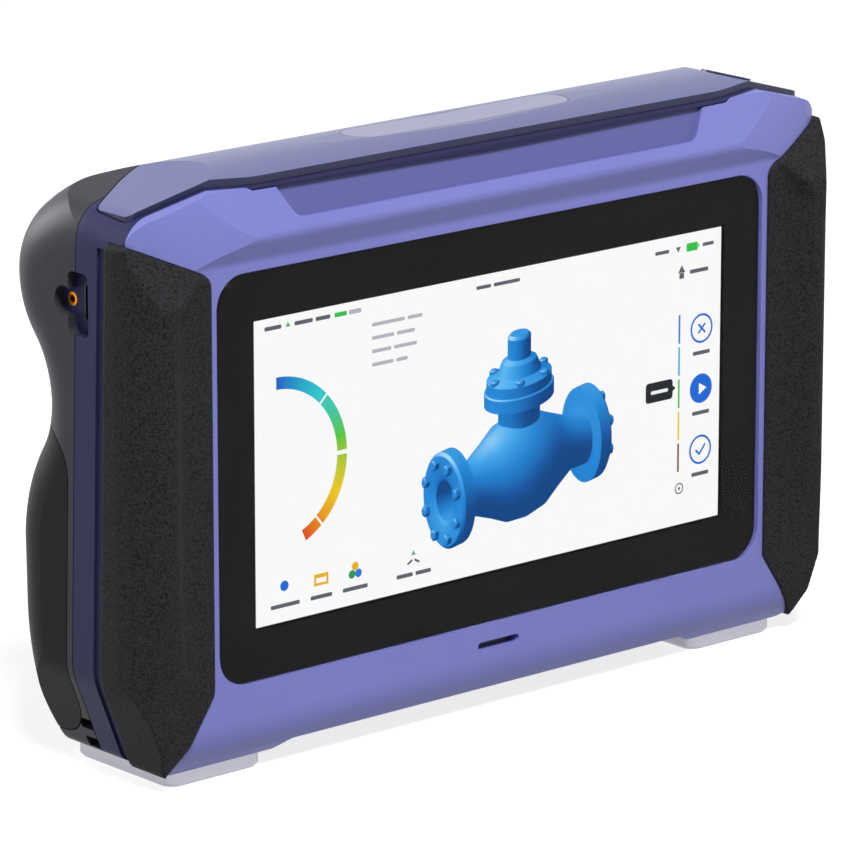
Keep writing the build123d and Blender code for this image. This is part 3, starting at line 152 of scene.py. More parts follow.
@dataclass(frozen=True)
class Finish:
    """A finish that is one Principled shader with patterns on its inputs."""

    name: str
    colour: str
    roughness: float = 0.5

    def make(self) -> Material:
        """Make the material.

        Returns:
            The material.
        """
        material = bpy.data.materials.new(self.name)
        material.use_nodes = True
        material.diffuse_color = linear(self.colour)
        shader = material.node_tree.nodes["Principled BSDF"]
        adjust(shader, {"Base Color": linear(self.colour), "Roughness": self.roughness})
        self.lay(material.node_tree, shader)
        return material

    def lay(self, tree: NodeTree, shader: Node) -> None:
        """Lay what sets this finish apart on the shader.

        Args:
            tree: The material's tree.
            shader: Its Principled shader.
        """
        raise NotImplementedError


@dataclass(frozen=True)
class Moulded(Finish):
    """Moulded or painted plastic: a spark-eroded grain under a satin skin.

    The grain breaks up the gloss, and a broad drift keeps large faces from looking flat. Such grain is
    about 0.1 mm wide, which is too fine to show, so it is drawn coarser.
    """

    drift: str = "#000000"
    grain_mm: float = 0.35
    grain_depth_mm: float = 0.01
    gloss_spread: float = 0.06
    coat: float = 0.0
    coat_roughness: float = 0.3
    specular: float = 0.3
    grain_detail: float = 2.0
    grain_edge: float = 0.6
    grain_strength: float = 0.6
    drift_mm: float = 38.0
    drift_detail: float = 3.0

    def colour_over(self, tree: NodeTree, place: NodeSocket, ground: NodeSocket) -> NodeSocket:
        """Lay further colours over the ground colour.

        Args:
            tree: The material's tree.
            place: Object coordinates.
            ground: The ground colour.

        Returns:
            The colour that the shader gets.
        """
        return ground

    def lay(self, tree: NodeTree, shader: Node) -> None:
        """Lay the drift of the colour, the grain and the coat.

        Args:
            tree: The material's tree.
            shader: Its Principled shader.
        """
        place = add_node(tree, "ShaderNodeTexCoord").outputs["Object"]
        broad = add_node(
            tree,
            "ShaderNodeTexNoise",
            {"Scale": per_metre(self.drift_mm), "Detail": self.drift_detail},
            {"Vector": place},
        )
        grain = add_node(
            tree,
            "ShaderNodeTexNoise",
            {"Scale": per_metre(self.grain_mm), "Detail": self.grain_detail, "Roughness": self.grain_edge},
            {"Vector": place},
        )
        tint = add_node(
            tree,
            "ShaderNodeMix",
            {"data_type": "RGBA", 6: linear(self.colour), 7: linear(self.drift)},
            {0: broad.outputs["Fac"]},
        )
        tree.links.new(self.colour_over(tree, place, tint.outputs[2]), shader.inputs["Base Color"])
        gloss = add_node(
            tree,
            "ShaderNodeMapRange",
            {"To Min": self.roughness - self.gloss_spread, "To Max": self.roughness + self.gloss_spread},
            {"Value": grain.outputs["Fac"]},
        )
        tree.links.new(gloss.outputs["Result"], shader.inputs["Roughness"])
        bump = add_node(
            tree,
            "ShaderNodeBump",
            {"Strength": self.grain_strength, "Distance": self.grain_depth_mm * MM},
            {"Height": grain.outputs["Fac"]},
        )
        tree.links.new(bump.outputs["Normal"], shader.inputs["Normal"])
        adjust(shader, {"Coat Weight": self.coat, "Coat Roughness": self.coat_roughness})
        adjust(shader, {"Specular IOR Level": self.specular})


@dataclass(frozen=True)
class CoverPaint(Moulded):
    """Satin paint on the top of a moulding, with painted shade in a darker colour on the rim, where the
    surface turns away from the top.
    """

    # Colour of the painted shade on the rim's faces that turn aside.
    rim: str = "#000000"
    rim_shade_tilt: tuple[float, float] = (0.55, 0.8)

    def colour_over(self, tree: NodeTree, place: NodeSocket, ground: NodeSocket) -> NodeSocket:
        """Lay the paint where the surface looks up, and painted shade where it turns aside.

        Args:
            tree: The material's tree.
            place: Object coordinates.
            ground: The paint's colour.

        Returns:
            The colour that the shader gets.
        """
        facing = add_node(tree, "ShaderNodeNewGeometry").outputs["Normal"]
        level = add_node(tree, "ShaderNodeSeparateXYZ", links={0: facing})
        top_share = add_node(
            tree,
            "ShaderNodeMapRange",
            {"From Min": self.rim_shade_tilt[0], "From Max": self.rim_shade_tilt[1]},
            {"Value": level.outputs["Z"]},
        )
        mixed = add_node(
            tree,
            "ShaderNodeMix",
            {"data_type": "RGBA", 6: linear(self.rim)},
            {0: top_share.outputs[0], 7: ground},
        )
        return mixed.outputs[2]


@dataclass(frozen=True)
class ShellPaint(Moulded):
    """Satin paint on the front shell, with painted shade on the sunk panel under the brow.

    The panel is what lies between two depths under the slope, above its foot and within its half width.
    """

    # Colour of the painted shade in the sunk panel.
    panel_shade: str = "#000000"
    slope_point: Point = (0.0, -25.2, 117.6)
    slope_normal: Point = (0.0, -0.945, 0.328)
    sunk: tuple[float, float] = (-0.75, -0.45)
    sunk_most: float = -1.9
    panel_foot: float = 119.3
    panel_half: float = 64.0

    def colour_over(self, tree: NodeTree, place: NodeSocket, ground: NodeSocket) -> NodeSocket:
        """Paint shade on what lies sunk under the slope.

        Args:
            tree: The material's tree.
            place: Object coordinates.
            ground: The paint's colour.

        Returns:
            The colour that the shader gets.
        """
        along = add_node(
            tree, "ShaderNodeVectorMath", {"operation": "DOT_PRODUCT", 1: self.slope_normal}, {0: place}
        ).outputs["Value"]
        level = Vector(self.slope_point).dot(Vector(self.slope_normal))
        axes = add_node(tree, "ShaderNodeSeparateXYZ", links={0: place})
        aside = add_node(tree, "ShaderNodeMath", {"operation": "ABSOLUTE"}, {0: axes.outputs["X"]})
        share = add_node(
            tree,
            "ShaderNodeMapRange",
            {"From Min": (level + self.sunk[1]) * MM, "From Max": (level + self.sunk[0]) * MM},
            {"Value": along},
        )
        for test, limit, value in (
            ("GREATER_THAN", level + self.sunk_most, along),
            ("GREATER_THAN", self.panel_foot, axes.outputs["Z"]),
            ("LESS_THAN", self.panel_half, aside.outputs[0]),
        ):
            within = add_node(tree, "ShaderNodeMath", {"operation": test, 1: limit * MM}, {0: value})
            share = add_node(
                tree, "ShaderNodeMath", {"operation": "MULTIPLY"}, {0: share.outputs[0], 1: within.outputs[0]}
            )
        mixed = add_node(
            tree,
            "ShaderNodeMix",
            {"data_type": "RGBA", 7: linear(self.panel_shade)},
            {0: share.outputs[0], 6: ground},
        )
        return mixed.outputs[2]


@dataclass(frozen=True)
class GripRubber(Finish):
    """Over-moulded rubber with a pebbled grain, and a painted highlight as pale specks on the pebbles'
    crowns.
    """

    # Colour of the painted highlight on the pebbles' crowns.
    crown: str = "#4A4A4F"
    glint_reach: float = 0.8
    pebble_mm: float = 0.45
    pebble_depth_mm: float = 0.035
    pebble_blend: float = 0.4
    pebble_strength: float = 0.5
    stray_mm: float = 1.6
    stray_by_mm: float = 0.6
    stray_detail: float = 2.0
    glint_scatter_mm: float = 0.3
    glint_scatter_detail: float = 3.0
    specular: float = 0.1

    def lay(self, tree: NodeTree, shader: Node) -> None:
        """Lay the pebbles, strayed from their rows, and the painted highlight scattered over their crowns.

        Args:
            tree: The material's tree.
            shader: Its Principled shader.
        """
        place = add_node(tree, "ShaderNodeTexCoord").outputs["Object"]
        stray = add_node(
            tree,
            "ShaderNodeTexNoise",
            {"Scale": per_metre(self.stray_mm), "Detail": self.stray_detail},
            {"Vector": place},
        )
        shift = add_node(
            tree,
            "ShaderNodeVectorMath",
            {"operation": "MULTIPLY_ADD", 1: (self.stray_by_mm * MM,) * 3},
            {0: stray.outputs["Color"], 2: place},
        )
        pebble = add_node(
            tree,
            "ShaderNodeTexVoronoi",
            {"Scale": per_metre(self.pebble_mm), "feature": "SMOOTH_F1", "Smoothness": self.pebble_blend},
            {"Vector": shift.outputs[0]},
        )
        glint_scatter = add_node(
            tree,
            "ShaderNodeTexNoise",
            {"Scale": per_metre(self.glint_scatter_mm), "Detail": self.glint_scatter_detail},
            {"Vector": place},
        )
        # Painted highlight: pale specks on the crowns, where the noise lets them show.
        lit_crowns = add_node(
            tree,
            "ShaderNodeMapRange",
            {"From Min": self.glint_reach, "From Max": 0.0},
            {"Value": pebble.outputs["Distance"]},
        )
        crown_glint = add_node(
            tree, "ShaderNodeMath", {"operation": "MULTIPLY"}, {0: lit_crowns.outputs[0], 1: glint_scatter.outputs["Fac"]}
        )
        tint = add_node(
            tree,
            "ShaderNodeMix",
            {"data_type": "RGBA", 6: linear(self.colour), 7: linear(self.crown)},
            {0: crown_glint.outputs[0]},
        )
        tree.links.new(tint.outputs[2], shader.inputs["Base Color"])
        bump = add_node(
            tree,
            "ShaderNodeBump",
            {"Strength": self.pebble_strength, "Distance": self.pebble_depth_mm * MM, "invert": True},
            {"Height": pebble.outputs["Distance"]},
        )
        tree.links.new(bump.outputs["Normal"], shader.inputs["Normal"])
        adjust(shader, {"Specular IOR Level": self.specular})


@dataclass(frozen=True)
class ClearGlass(Finish):
    """Polished glass. Its index is the one that gives the reflection left by its coat, if it has one."""

    index: float = 1.5

    def lay(self, tree: NodeTree, shader: Node) -> None:
        """Let the light through."""
        adjust(shader, {"Transmission Weight": 1.0, "IOR": self.index})


@dataclass(frozen=True)
class Metal(Finish):
    """Metal: bead blasted, turned or plain, with the fine unevenness that its making leaves.

    Such grain is about 0.05 mm wide, which is too fine to show, so it is drawn coarser.
    """

    grain_mm: float = 0.25
    grain_depth_mm: float = 0.008
    grain_detail: float = 2.0
    grain_strength: float = 0.5
    dull: str = "#808080"

    def lay(self, tree: NodeTree, shader: Node) -> None:
        """Lay the grain, duller in its hollows.

        Args:
            tree: The material's tree.
            shader: Its Principled shader.
        """
        place = add_node(tree, "ShaderNodeTexCoord").outputs["Object"]
        grain = add_node(
            tree,
            "ShaderNodeTexNoise",
            {"Scale": per_metre(self.grain_mm), "Detail": self.grain_detail},
            {"Vector": place},
        )
        tint = add_node(
            tree,
            "ShaderNodeMix",
            {"data_type": "RGBA", 6: linear(self.colour), 7: linear(self.dull)},
            {0: grain.outputs["Fac"]},
        )
        tree.links.new(tint.outputs[2], shader.inputs["Base Color"])
        bump = add_node(
            tree,
            "ShaderNodeBump",
            {"Strength": self.grain_strength, "Distance": self.grain_depth_mm * MM},
            {"Height": grain.outputs["Fac"]},
        )
        tree.links.new(bump.outputs["Normal"], shader.inputs["Normal"])
        adjust(shader, {"Metallic": 1.0})


@dataclass(frozen=True)
class CoatedLens(Finish):
    """Ground lens over a dark barrel, with the violet sheen of an anti-reflection coat."""

    film_nm: float = 420.0
    film_index: float = 1.38

    def lay(self, tree: NodeTree, shader: Node) -> None:
        """Lay the film of the coat."""
        adjust(shader, {"Thin Film Thickness": self.film_nm, "Thin Film IOR": self.film_index})


@dataclass(frozen=True)
class Ink(Finish):
    """Ink screened on the back of the glass: deep black with hardly any gloss of its own.

    The dots of the screen are about 0.1 mm wide, which is too fine to show, so they are drawn coarser.
    """

    dot_mm: float = 0.4
    gloss_spread: float = 0.075
    specular: float = 0.02

    def lay(self, tree: NodeTree, shader: Node) -> None:
        """Lay the dots of the screen on the gloss.

        Args:
            tree: The material's tree.
            shader: Its Principled shader.
        """
        place = add_node(tree, "ShaderNodeTexCoord").outputs["Object"]
        dots = add_node(tree, "ShaderNodeTexNoise", {"Scale": per_metre(self.dot_mm)}, {"Vector": place})
        gloss = add_node(
            tree,
            "ShaderNodeMapRange",
            {"To Min": self.roughness - self.gloss_spread, "To Max": self.roughness + self.gloss_spread},
            {"Value": dots.outputs["Fac"]},
        )
        tree.links.new(gloss.outputs["Result"], shader.inputs["Roughness"])
        adjust(shader, {"Specular IOR Level": self.specular})


@dataclass(frozen=True)
class Tinted(Finish):
    """Lit dots of the display, each in the colour that its mesh carries."""

    strength: float = 1.0
    attribute: str = "tint"

    def lay(self, tree: NodeTree, shader: Node) -> None:
        """Light the dots.

        Args:
            tree: The material's tree.
            shader: Its Principled shader.
        """
        dots = add_node(tree, "ShaderNodeAttribute", {"attribute_name": self.attribute})
        tree.links.new(dots.outputs["Color"], shader.inputs["Emission Color"])
        adjust(shader, {"Emission Strength": self.strength, "Specular IOR Level": 0.0})


@dataclass(frozen=True)
class Lit(Finish):
    """A lit area of the display: black when dark, it gives light of its own."""

    dark: str = "#000000"
    strength: float = 1.0

    def lay(self, tree: NodeTree, shader: Node) -> None:
        """Light the area."""
        adjust(shader, {"Base Color": linear(self.dark), "Emission Color": linear(self.colour)})
        adjust(shader, {"Emission Strength": self.strength})


FINISHES: dict[Slot, Finish] = {
    # Sprayed satin paint over ABS: an even violet blue with a soft, broad sheen, and painted shade on the
    # sunk panel under the brow.
    Slot.BLUE: ShellPaint("satin_paint_on_abs", "#7E82CA", 0.42, "#7478BF", coat=0.06, panel_shade="#5A5C98"),
    # The shell's blue paint, drawn darker than the paint and duller on the frame band as painted shade.
    Slot.NAVY: Moulded("blue_paint_in_painted_shade", "#313257", 0.5, "#29294A", specular=0.12),
    # Sprayed satin paint on top, with painted shade on the rim: a light top with a dark outline.
    Slot.COVER: CoverPaint("satin_paint_on_cover", "#686C98", 0.34, "#5E628E", coat=0.06, rim="#26284A"),
    # Matte film set flush in the cover: a pale stripe with little gloss.
    Slot.INLAY: Moulded("matte_film", "#9C9DB4", 0.5, "#9091AA"),
    # Spark-textured polycarbonate: charcoal with a wide dull highlight.
    Slot.CHARCOAL: Moulded(
        "textured_charcoal_polycarbonate", "#36363E", 0.46, "#2E2E35", 0.3, 0.014, specular=0.14
    ),
    # Moulded ABS, coloured through: near black and dull.
    Slot.BLACK: Moulded("moulded_black_abs", "#121213", 0.5, "#0F0F10", specular=0.08),
    # Over-moulded thermoplastic rubber: black, with painted highlights as pale specks on the pebbles' crowns.
    Slot.RUBBER: GripRubber("pebbled_rubber", "#141415", 0.7),
    # Toughened glass with a coat against glare: clear, with a faint reflection.
    Slot.GLASS: ClearGlass("coated_toughened_glass", WHITE, 0.03, index=1.09),
    # Smoked float glass: shows the lenses behind it dimly.
    Slot.LENS: ClearGlass("smoked_float_glass", "#C4C4CE", 0.02, index=1.2),
    # Ink screened on the back of the glass: an even deep black.
    Slot.PRINT: Ink("screened_black_ink", "#121213", 0.475),
    # Liquid-crystal panel lit from behind: an even page, near white.
    Slot.DISPLAY: Lit("lit_display", "#F6F6F6", strength=0.97),
    # Fibre board under solder mask: deep green with a wet sheen.
    Slot.BOARD: Moulded("solder_mask", "#1B5A38", 0.35, "#17482E"),
    # Bead-blasted aluminium: pale grey, soft bright edges.
    Slot.CAST: Metal("blasted_aluminium", "#BCBCC5", 0.42, dull="#A2A2AC"),
    # Blackened steel: dark grey, a little sharper in its gloss.
    Slot.STEEL: Metal("blackened_steel", "#4C4C52", 0.38, dull="#3A3A40"),
    # Turned brass: a warm orange ring.
    Slot.BRASS: Metal("turned_brass", "#FFA000", 0.28, dull="#E08A00"),
    # Heat-shrunk film: black with a slight gloss.
    Slot.WRAP: Moulded("shrunk_film", "#1F2022", 0.4, "#1A1B1D"),
    # Clear moulded acrylic over a light-emitting diode: milky white.
    Slot.LAMP: Moulded("clear_acrylic", "#C8C4B8", 0.2, "#BDB9AD"),
}
# Ground glass under a coat against reflections: near black with a violet sheen.
LENS_COAT = CoatedLens("coated_lens", "#0A0A1A", 0.06)
# Lit dots of the panel: the colours of the page's marks, with no shading of their own.
PICTURE = Tinted("lit_picture", "#000000", strength=0.97)


class Pick(Enum):
    """What edit mode selects."""

    POINTS = "VERT"
    EDGES = "EDGE"
    FACES = "FACE"


def deselect() -> None:
    """Leave nothing selected, so that the next operator acts on the new piece alone."""
    bpy.ops.object.select_all(action="DESELECT")


def choose(pieces: list[Object]) -> None:
    """Select pieces alone, the first of them active.

    Args:
        pieces: The pieces.
    """
    deselect()
    for piece in pieces:
        piece.select_set(True)
    bpy.context.view_layer.objects.active = pieces[0]


def join(pieces: list[Object], name: str) -> Object:
    """Join pieces to one object with its place in its mesh.

    Args:
        pieces: The pieces, of which the first is kept.
        name: Name of the joined piece.

    Returns:
        The joined piece, at the origin and unscaled.
    """
    choose(pieces)
    if len(pieces) > 1:
        bpy.ops.object.join()
    bpy.ops.object.transform_apply(location=True, rotation=True, scale=True)
    joined = bpy.context.active_object
    joined.name = name
    return joined


def begin_edit(piece: Object, pick: Pick = Pick.FACES) -> None:
    """Open one piece in edit mode with all of it selected.

    Args:
        piece: The piece.
        pick: What is selected.
    """
    choose([piece])
    bpy.ops.object.mode_set(mode="EDIT")
    bpy.ops.mesh.select_mode(type=pick.value)
    bpy.ops.mesh.select_all(action="SELECT")


def end_edit() -> None:
    """Close edit mode."""
    bpy.ops.object.mode_set(mode="OBJECT")


def merged_copy(node: Object, name: str) -> Object:
    """Copy a CAD node to a new piece and merge its loose triangles.

    Args:
        node: The CAD node, which stays as it is.
        name: Name of the copy.

    Returns:
        The copy.
    """
    piece = bpy.data.objects.new(name, node.data.copy())
    bpy.context.scene.collection.objects.link(piece)
    begin_edit(piece, Pick.POINTS)
    bpy.ops.mesh.remove_doubles(threshold=MERGE * MM)
    bpy.ops.mesh.customdata_custom_splitnormals_clear()
    end_edit()
    return piece


def duplicate(piece: Object, place: Matrix) -> Object:
    """Copy a piece, with its own mesh, to a place.

    Args:
        piece: The piece that is copied.
        place: Where the copy stands.

    Returns:
        The copy.
    """
    copy = piece.copy()
    copy.data = piece.data.copy()
    bpy.context.scene.collection.objects.link(copy)
    copy.matrix_world = place
    return copy


def turned(profile: Profile, sides: int = 48) -> Object:
    """Turn a profile about Z as on a lathe: a disc is drawn out ring by ring.

    Args:
        profile: Radius and height of each ring, in millimetres.
        sides: Sides of the rings.

    Returns:
        The closed, smooth piece.
    """
    deselect()
    radius, height = profile[0]
    bpy.ops.mesh.primitive_circle_add(
        vertices=sides, radius=radius * MM, location=(0, 0, height * MM), fill_type="NGON"
    )
    piece = join([bpy.context.active_object], "turned")
    begin_edit(piece)
    for (was, low), (now, high) in zip(profile, profile[1:]):
        bpy.ops.mesh.extrude_region_move(TRANSFORM_OT_translate={"value": (0, 0, (high - low) * MM)})
        grow = now / was
        bpy.ops.transform.resize(value=(grow, grow, 1), center_override=(0, 0, high * MM))
    bpy.ops.mesh.select_mode(type=Pick.EDGES.value)
    bpy.ops.mesh.select_all(action="DESELECT")
    bpy.ops.mesh.select_non_manifold()
    piece.update_from_editmode()
    if piece.data.total_edge_sel:
        bpy.ops.mesh.edge_face_add()
    bpy.ops.mesh.select_all(action="SELECT")
    bpy.ops.mesh.normals_make_consistent(inside=False)
    end_edit()
    bpy.ops.object.shade_smooth_by_angle(angle=SMOOTH_ANGLE)
    return piece


def settle(piece: Object, material: Material, replaced: tuple[str, ...] = ()) -> None:
    """Finish a piece of the housing: its material, its body and the node that it stands for.

    Args:
        piece: The piece.
        material: Its material.
        replaced: CAD nodes that it stands for.
    """
    piece.data.materials.clear()
    piece.data.materials.append(material)
    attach(piece, HOUSING)
    if replaced:
        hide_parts(*replaced)
    LOG.info("made %s with %d faces", piece.name, len(piece.data.polygons))


@dataclass
class Grips:
    """The rubber grips: each a soft moulding whose top falls in a slanted facet.

    Places are those of the right grip. The cuts are a point and the way that faces outwards.
    """

    crown_low: Point = (83.0, -26.45, 98.0)
    crown_high: Point = (100.3, -13.0, 121.0)
    cuts: tuple[Cut, ...] = (
        ((94.0, -27.0, 105.3), (0.046, -0.890, 0.454)),
        ((80.2, 0.0, 110.9), (-0.411, 0.0, 0.912)),
        ((89.2, -24.1, 103.0), (-0.587, -0.714, -0.381)),
        ((97.2, -24.3, 0.0), (0.771, -0.637, 0.0)),
        ((99.8, -19.8, 0.0), (0.963, -0.271, 0.0)),
    )
    corner_cuts: tuple[Cut, ...] = (((99.9, 0.0, 119.0), (0.66, 0.0, 0.75)),)
    voxel: float = 0.5
    softness: float = 0.5
    passes: int = 5

    def build(self, nodes: dict[str, Object], material: Material) -> None:
        """Make both grips.

        Args:
            nodes: The CAD nodes by name.
            material: The rubber.
        """
        for side, node in ((1, "right_grip"), (-1, "left_grip")):
            body = merged_copy(nodes[node], node)
            grip = join([body, self.crown(side)], f"{node}_moulding")
            self.cut(grip, self.corner_cuts, side)
            self.soften(grip)
            settle(grip, material, (node,))

    def crown(self, side: int) -> Object:
        """Cut the block of the slanted top.

        Args:
            side: 1 for the right grip and -1 for the left.

        Returns:
            The block.
        """
        deselect()
        low, high = Vector(self.crown_low), Vector(self.crown_high)
        middle = (low + high) / 2
        middle.x *= side
        bpy.ops.mesh.primitive_cube_add(size=1.0, location=middle * MM, scale=(high - low) * MM)
        block = join([bpy.context.active_object], "crown")
        self.cut(block, self.cuts, side)
        return block

    def cut(self, piece: Object, cuts: tuple[Cut, ...], side: int) -> None:
        """Cut a piece off along planes.

        Args:
            piece: The piece.
            cuts: Points and outward directions of the planes.
            side: 1 for the right grip and -1 for the left.
        """
        begin_edit(piece)
        for (x, y, z), (along, front, up) in cuts:
            bpy.ops.mesh.select_all(action="SELECT")
            bpy.ops.mesh.bisect(
                plane_co=(side * x * MM, y * MM, z * MM),
                plane_no=(side * along, front, up),
                use_fill=True,
                clear_outer=True,
            )
        bpy.ops.mesh.select_all(action="SELECT")
        bpy.ops.mesh.normals_make_consistent(inside=False)
        end_edit()

    def soften(self, grip: Object) -> None:
        """Melt the blocks of a grip to one skin with soft edges, as the mould gives it.

        Args:
            grip: The grip.
        """
        choose([grip])
        grip.data.remesh_voxel_size = self.voxel * MM
        bpy.ops.object.voxel_remesh()
        smooth = grip.modifiers.new("soften", "SMOOTH")
        smooth.factor = self.softness
        smooth.iterations = self.passes
        bpy.ops.object.modifier_apply(modifier=smooth.name)
        bpy.ops.object.shade_smooth()


class Shape(Enum):
    """Outlines of the screen's marks, by their number of sides."""

    BAR = 4
    ARROW = 3
    DISC = 40


@dataclass(frozen=True)
class Mark:
    """A flat mark of the screen, in millimetres on the display."""

    shape: Shape
    place: tuple[float, float]
    size: tuple[float, float]
    colour: str
    corner: float = 0.0
    line: float = 0.0
    turn: float = 0.0
    layer: int = 0


def paint(piece: Object, colours: list[Colour]) -> None:
    """Write a colour on each corner of a mesh.

    Args:
        piece: The piece.
        colours: One linear colour for each corner.
    """
    tint = piece.data.color_attributes.new(PICTURE.attribute, "FLOAT_COLOR", "CORNER")
    tint.data.foreach_set("color", [level for colour in colours for level in colour])


def blend(stops: tuple[str, ...], share: float) -> Colour:
    """Take a colour from a run of colours.

    Args:
        stops: The colours, evenly spaced.
        share: Where to take it, from 0 to 1.

    Returns:
        The linear colour.
    """
    step = min(max(share, 0.0), 1.0) * (len(stops) - 1)
    low = min(int(step), len(stops) - 2)
    first, second = Vector(linear(stops[low])), Vector(linear(stops[low + 1]))
    red, green, blue, alpha = first.lerp(second, step - low)
    return (red, green, blue, alpha)


@dataclass
class ScannedPart:
    """Shaded picture of a scanned workpiece: a flanged valve body, modelled and then pressed flat."""

    body: Profile = (
        (7.0, -26), (7.0, -37), (9.0, -38), (15.5, -38), (16.5, -37), (16.5, -32), (10.0, -31.5), (9.5, -24),
        (13.5, -15), (17.0, -8), (18.0, 0), (17.0, 8), (13.5, 15), (9.5, 24), (10.0, 31.5), (16.5, 32),
        (16.5, 37), (15.5, 38), (9.0, 38), (7.0, 37), (7.0, 26),
    )
    neck: Profile = (
        (9.0, 6), (9.0, 21), (10.0, 23), (15.0, 23.2), (15.0, 27.6), (14.6, 28), (14.0, 28), (14.0, 31.5),
        (9.5, 33), (7.5, 37), (5.0, 38), (5.0, 45), (4.0, 46), (0.3, 46),
    )
    bolt: Profile = ((2.0, 0), (2.0, 1.9), (1.5, 2.3), (0.2, 2.3))
    body_sides: int = 64
    bolt_sides: int = 6
    flange_bolts: int = 8
    flange_ring: float = 13.0
    flange_face: float = 38.0
    neck_bolts: int = 6
    neck_ring: float = 12.2
    neck_face: float = 31.0
    turn: float = 32.0
    tilt: float = 18.0
    middle: tuple[float, float] = (7.0, 62.5)
    height: float = 46.0
    pressed: float = 0.0025
    light: Point = (-0.5, -0.62, 0.6)
    shadow: float = 0.12
    lit: float = 0.62
    shine: float = 0.26
    shine_power: int = 12
    shades: tuple[str, ...] = ("#062A5C", "#0F5AA8", "#1E86D8", "#4DB0F0", "#A6DCFF")

    def build(self, depth: float) -> Object:
        """Model the part and press it to the display.

        Args:
            depth: Y of the picture's middle, in millimetres.

        Returns:
            The flat picture.
        """
        trunk = turned(self.body, self.body_sides)
        trunk.matrix_world = Matrix.Rotation(QUARTER, 4, "Y")
        bolt = turned(self.bolt, self.bolt_sides)
        pieces = [trunk, turned(self.neck)]
        for step in range(self.flange_bolts):
            around = Matrix.Rotation(math.tau * (step + 0.5) / self.flange_bolts, 4, "X")
            for end in (-1, 1):
                out = Matrix.Rotation(QUARTER * end, 4, "Y")
                place = Matrix.Translation((end * self.flange_face * MM, 0, self.flange_ring * MM))
                pieces.append(duplicate(bolt, around @ place @ out))
        for step in range(self.neck_bolts):
            around = Matrix.Rotation(math.tau * step / self.neck_bolts, 4, "Z")
            place = Matrix.Translation((self.neck_ring * MM, 0, self.neck_face * MM))
            pieces.append(duplicate(bolt, around @ place))
        bpy.data.objects.remove(bolt)
        part = join(pieces, "scanned_part")
        turn = Matrix.Rotation(math.radians(self.turn), 4, "Z")
        part.matrix_world = Matrix.Rotation(math.radians(self.tilt), 4, "X") @ turn
        part = join([part], "scanned_part")
        light = Vector(self.light).normalized()
        paint(part, [blend(self.shades, self.shade(n.vector, light)) for n in part.data.corner_normals])
        self.press(part, depth)
        return part

    def shade(self, normal: Vector, light: Vector) -> float:
        """Brightness of a face of the picture, from 0 to 1."""
        facing = max(normal.dot(light), 0.0)
        return self.shadow + self.lit * facing + self.shine * facing**self.shine_power

    def press(self, part: Object, depth: float) -> None:
        """Scale the part to its place and press it flat.

        Args:
            part: The part.
            depth: Y of the picture's middle, in millimetres.
        """
        corners = [Vector(c) for c in part.bound_box]
        low = Vector([min(c[i] for c in corners) for i in range(3)])
        high = Vector([max(c[i] for c in corners) for i in range(3)])
        scale = self.height * MM / (high.z - low.z)
        middle = (low + high) / 2
        size = Matrix.Diagonal((scale, self.pressed, scale, 1.0))
        target = Vector((self.middle[0] * MM, depth * MM, self.middle[1] * MM))
        part.matrix_world = Matrix.Translation(target) @ size @ Matrix.Translation(-middle)
        join([part], "scanned_part")


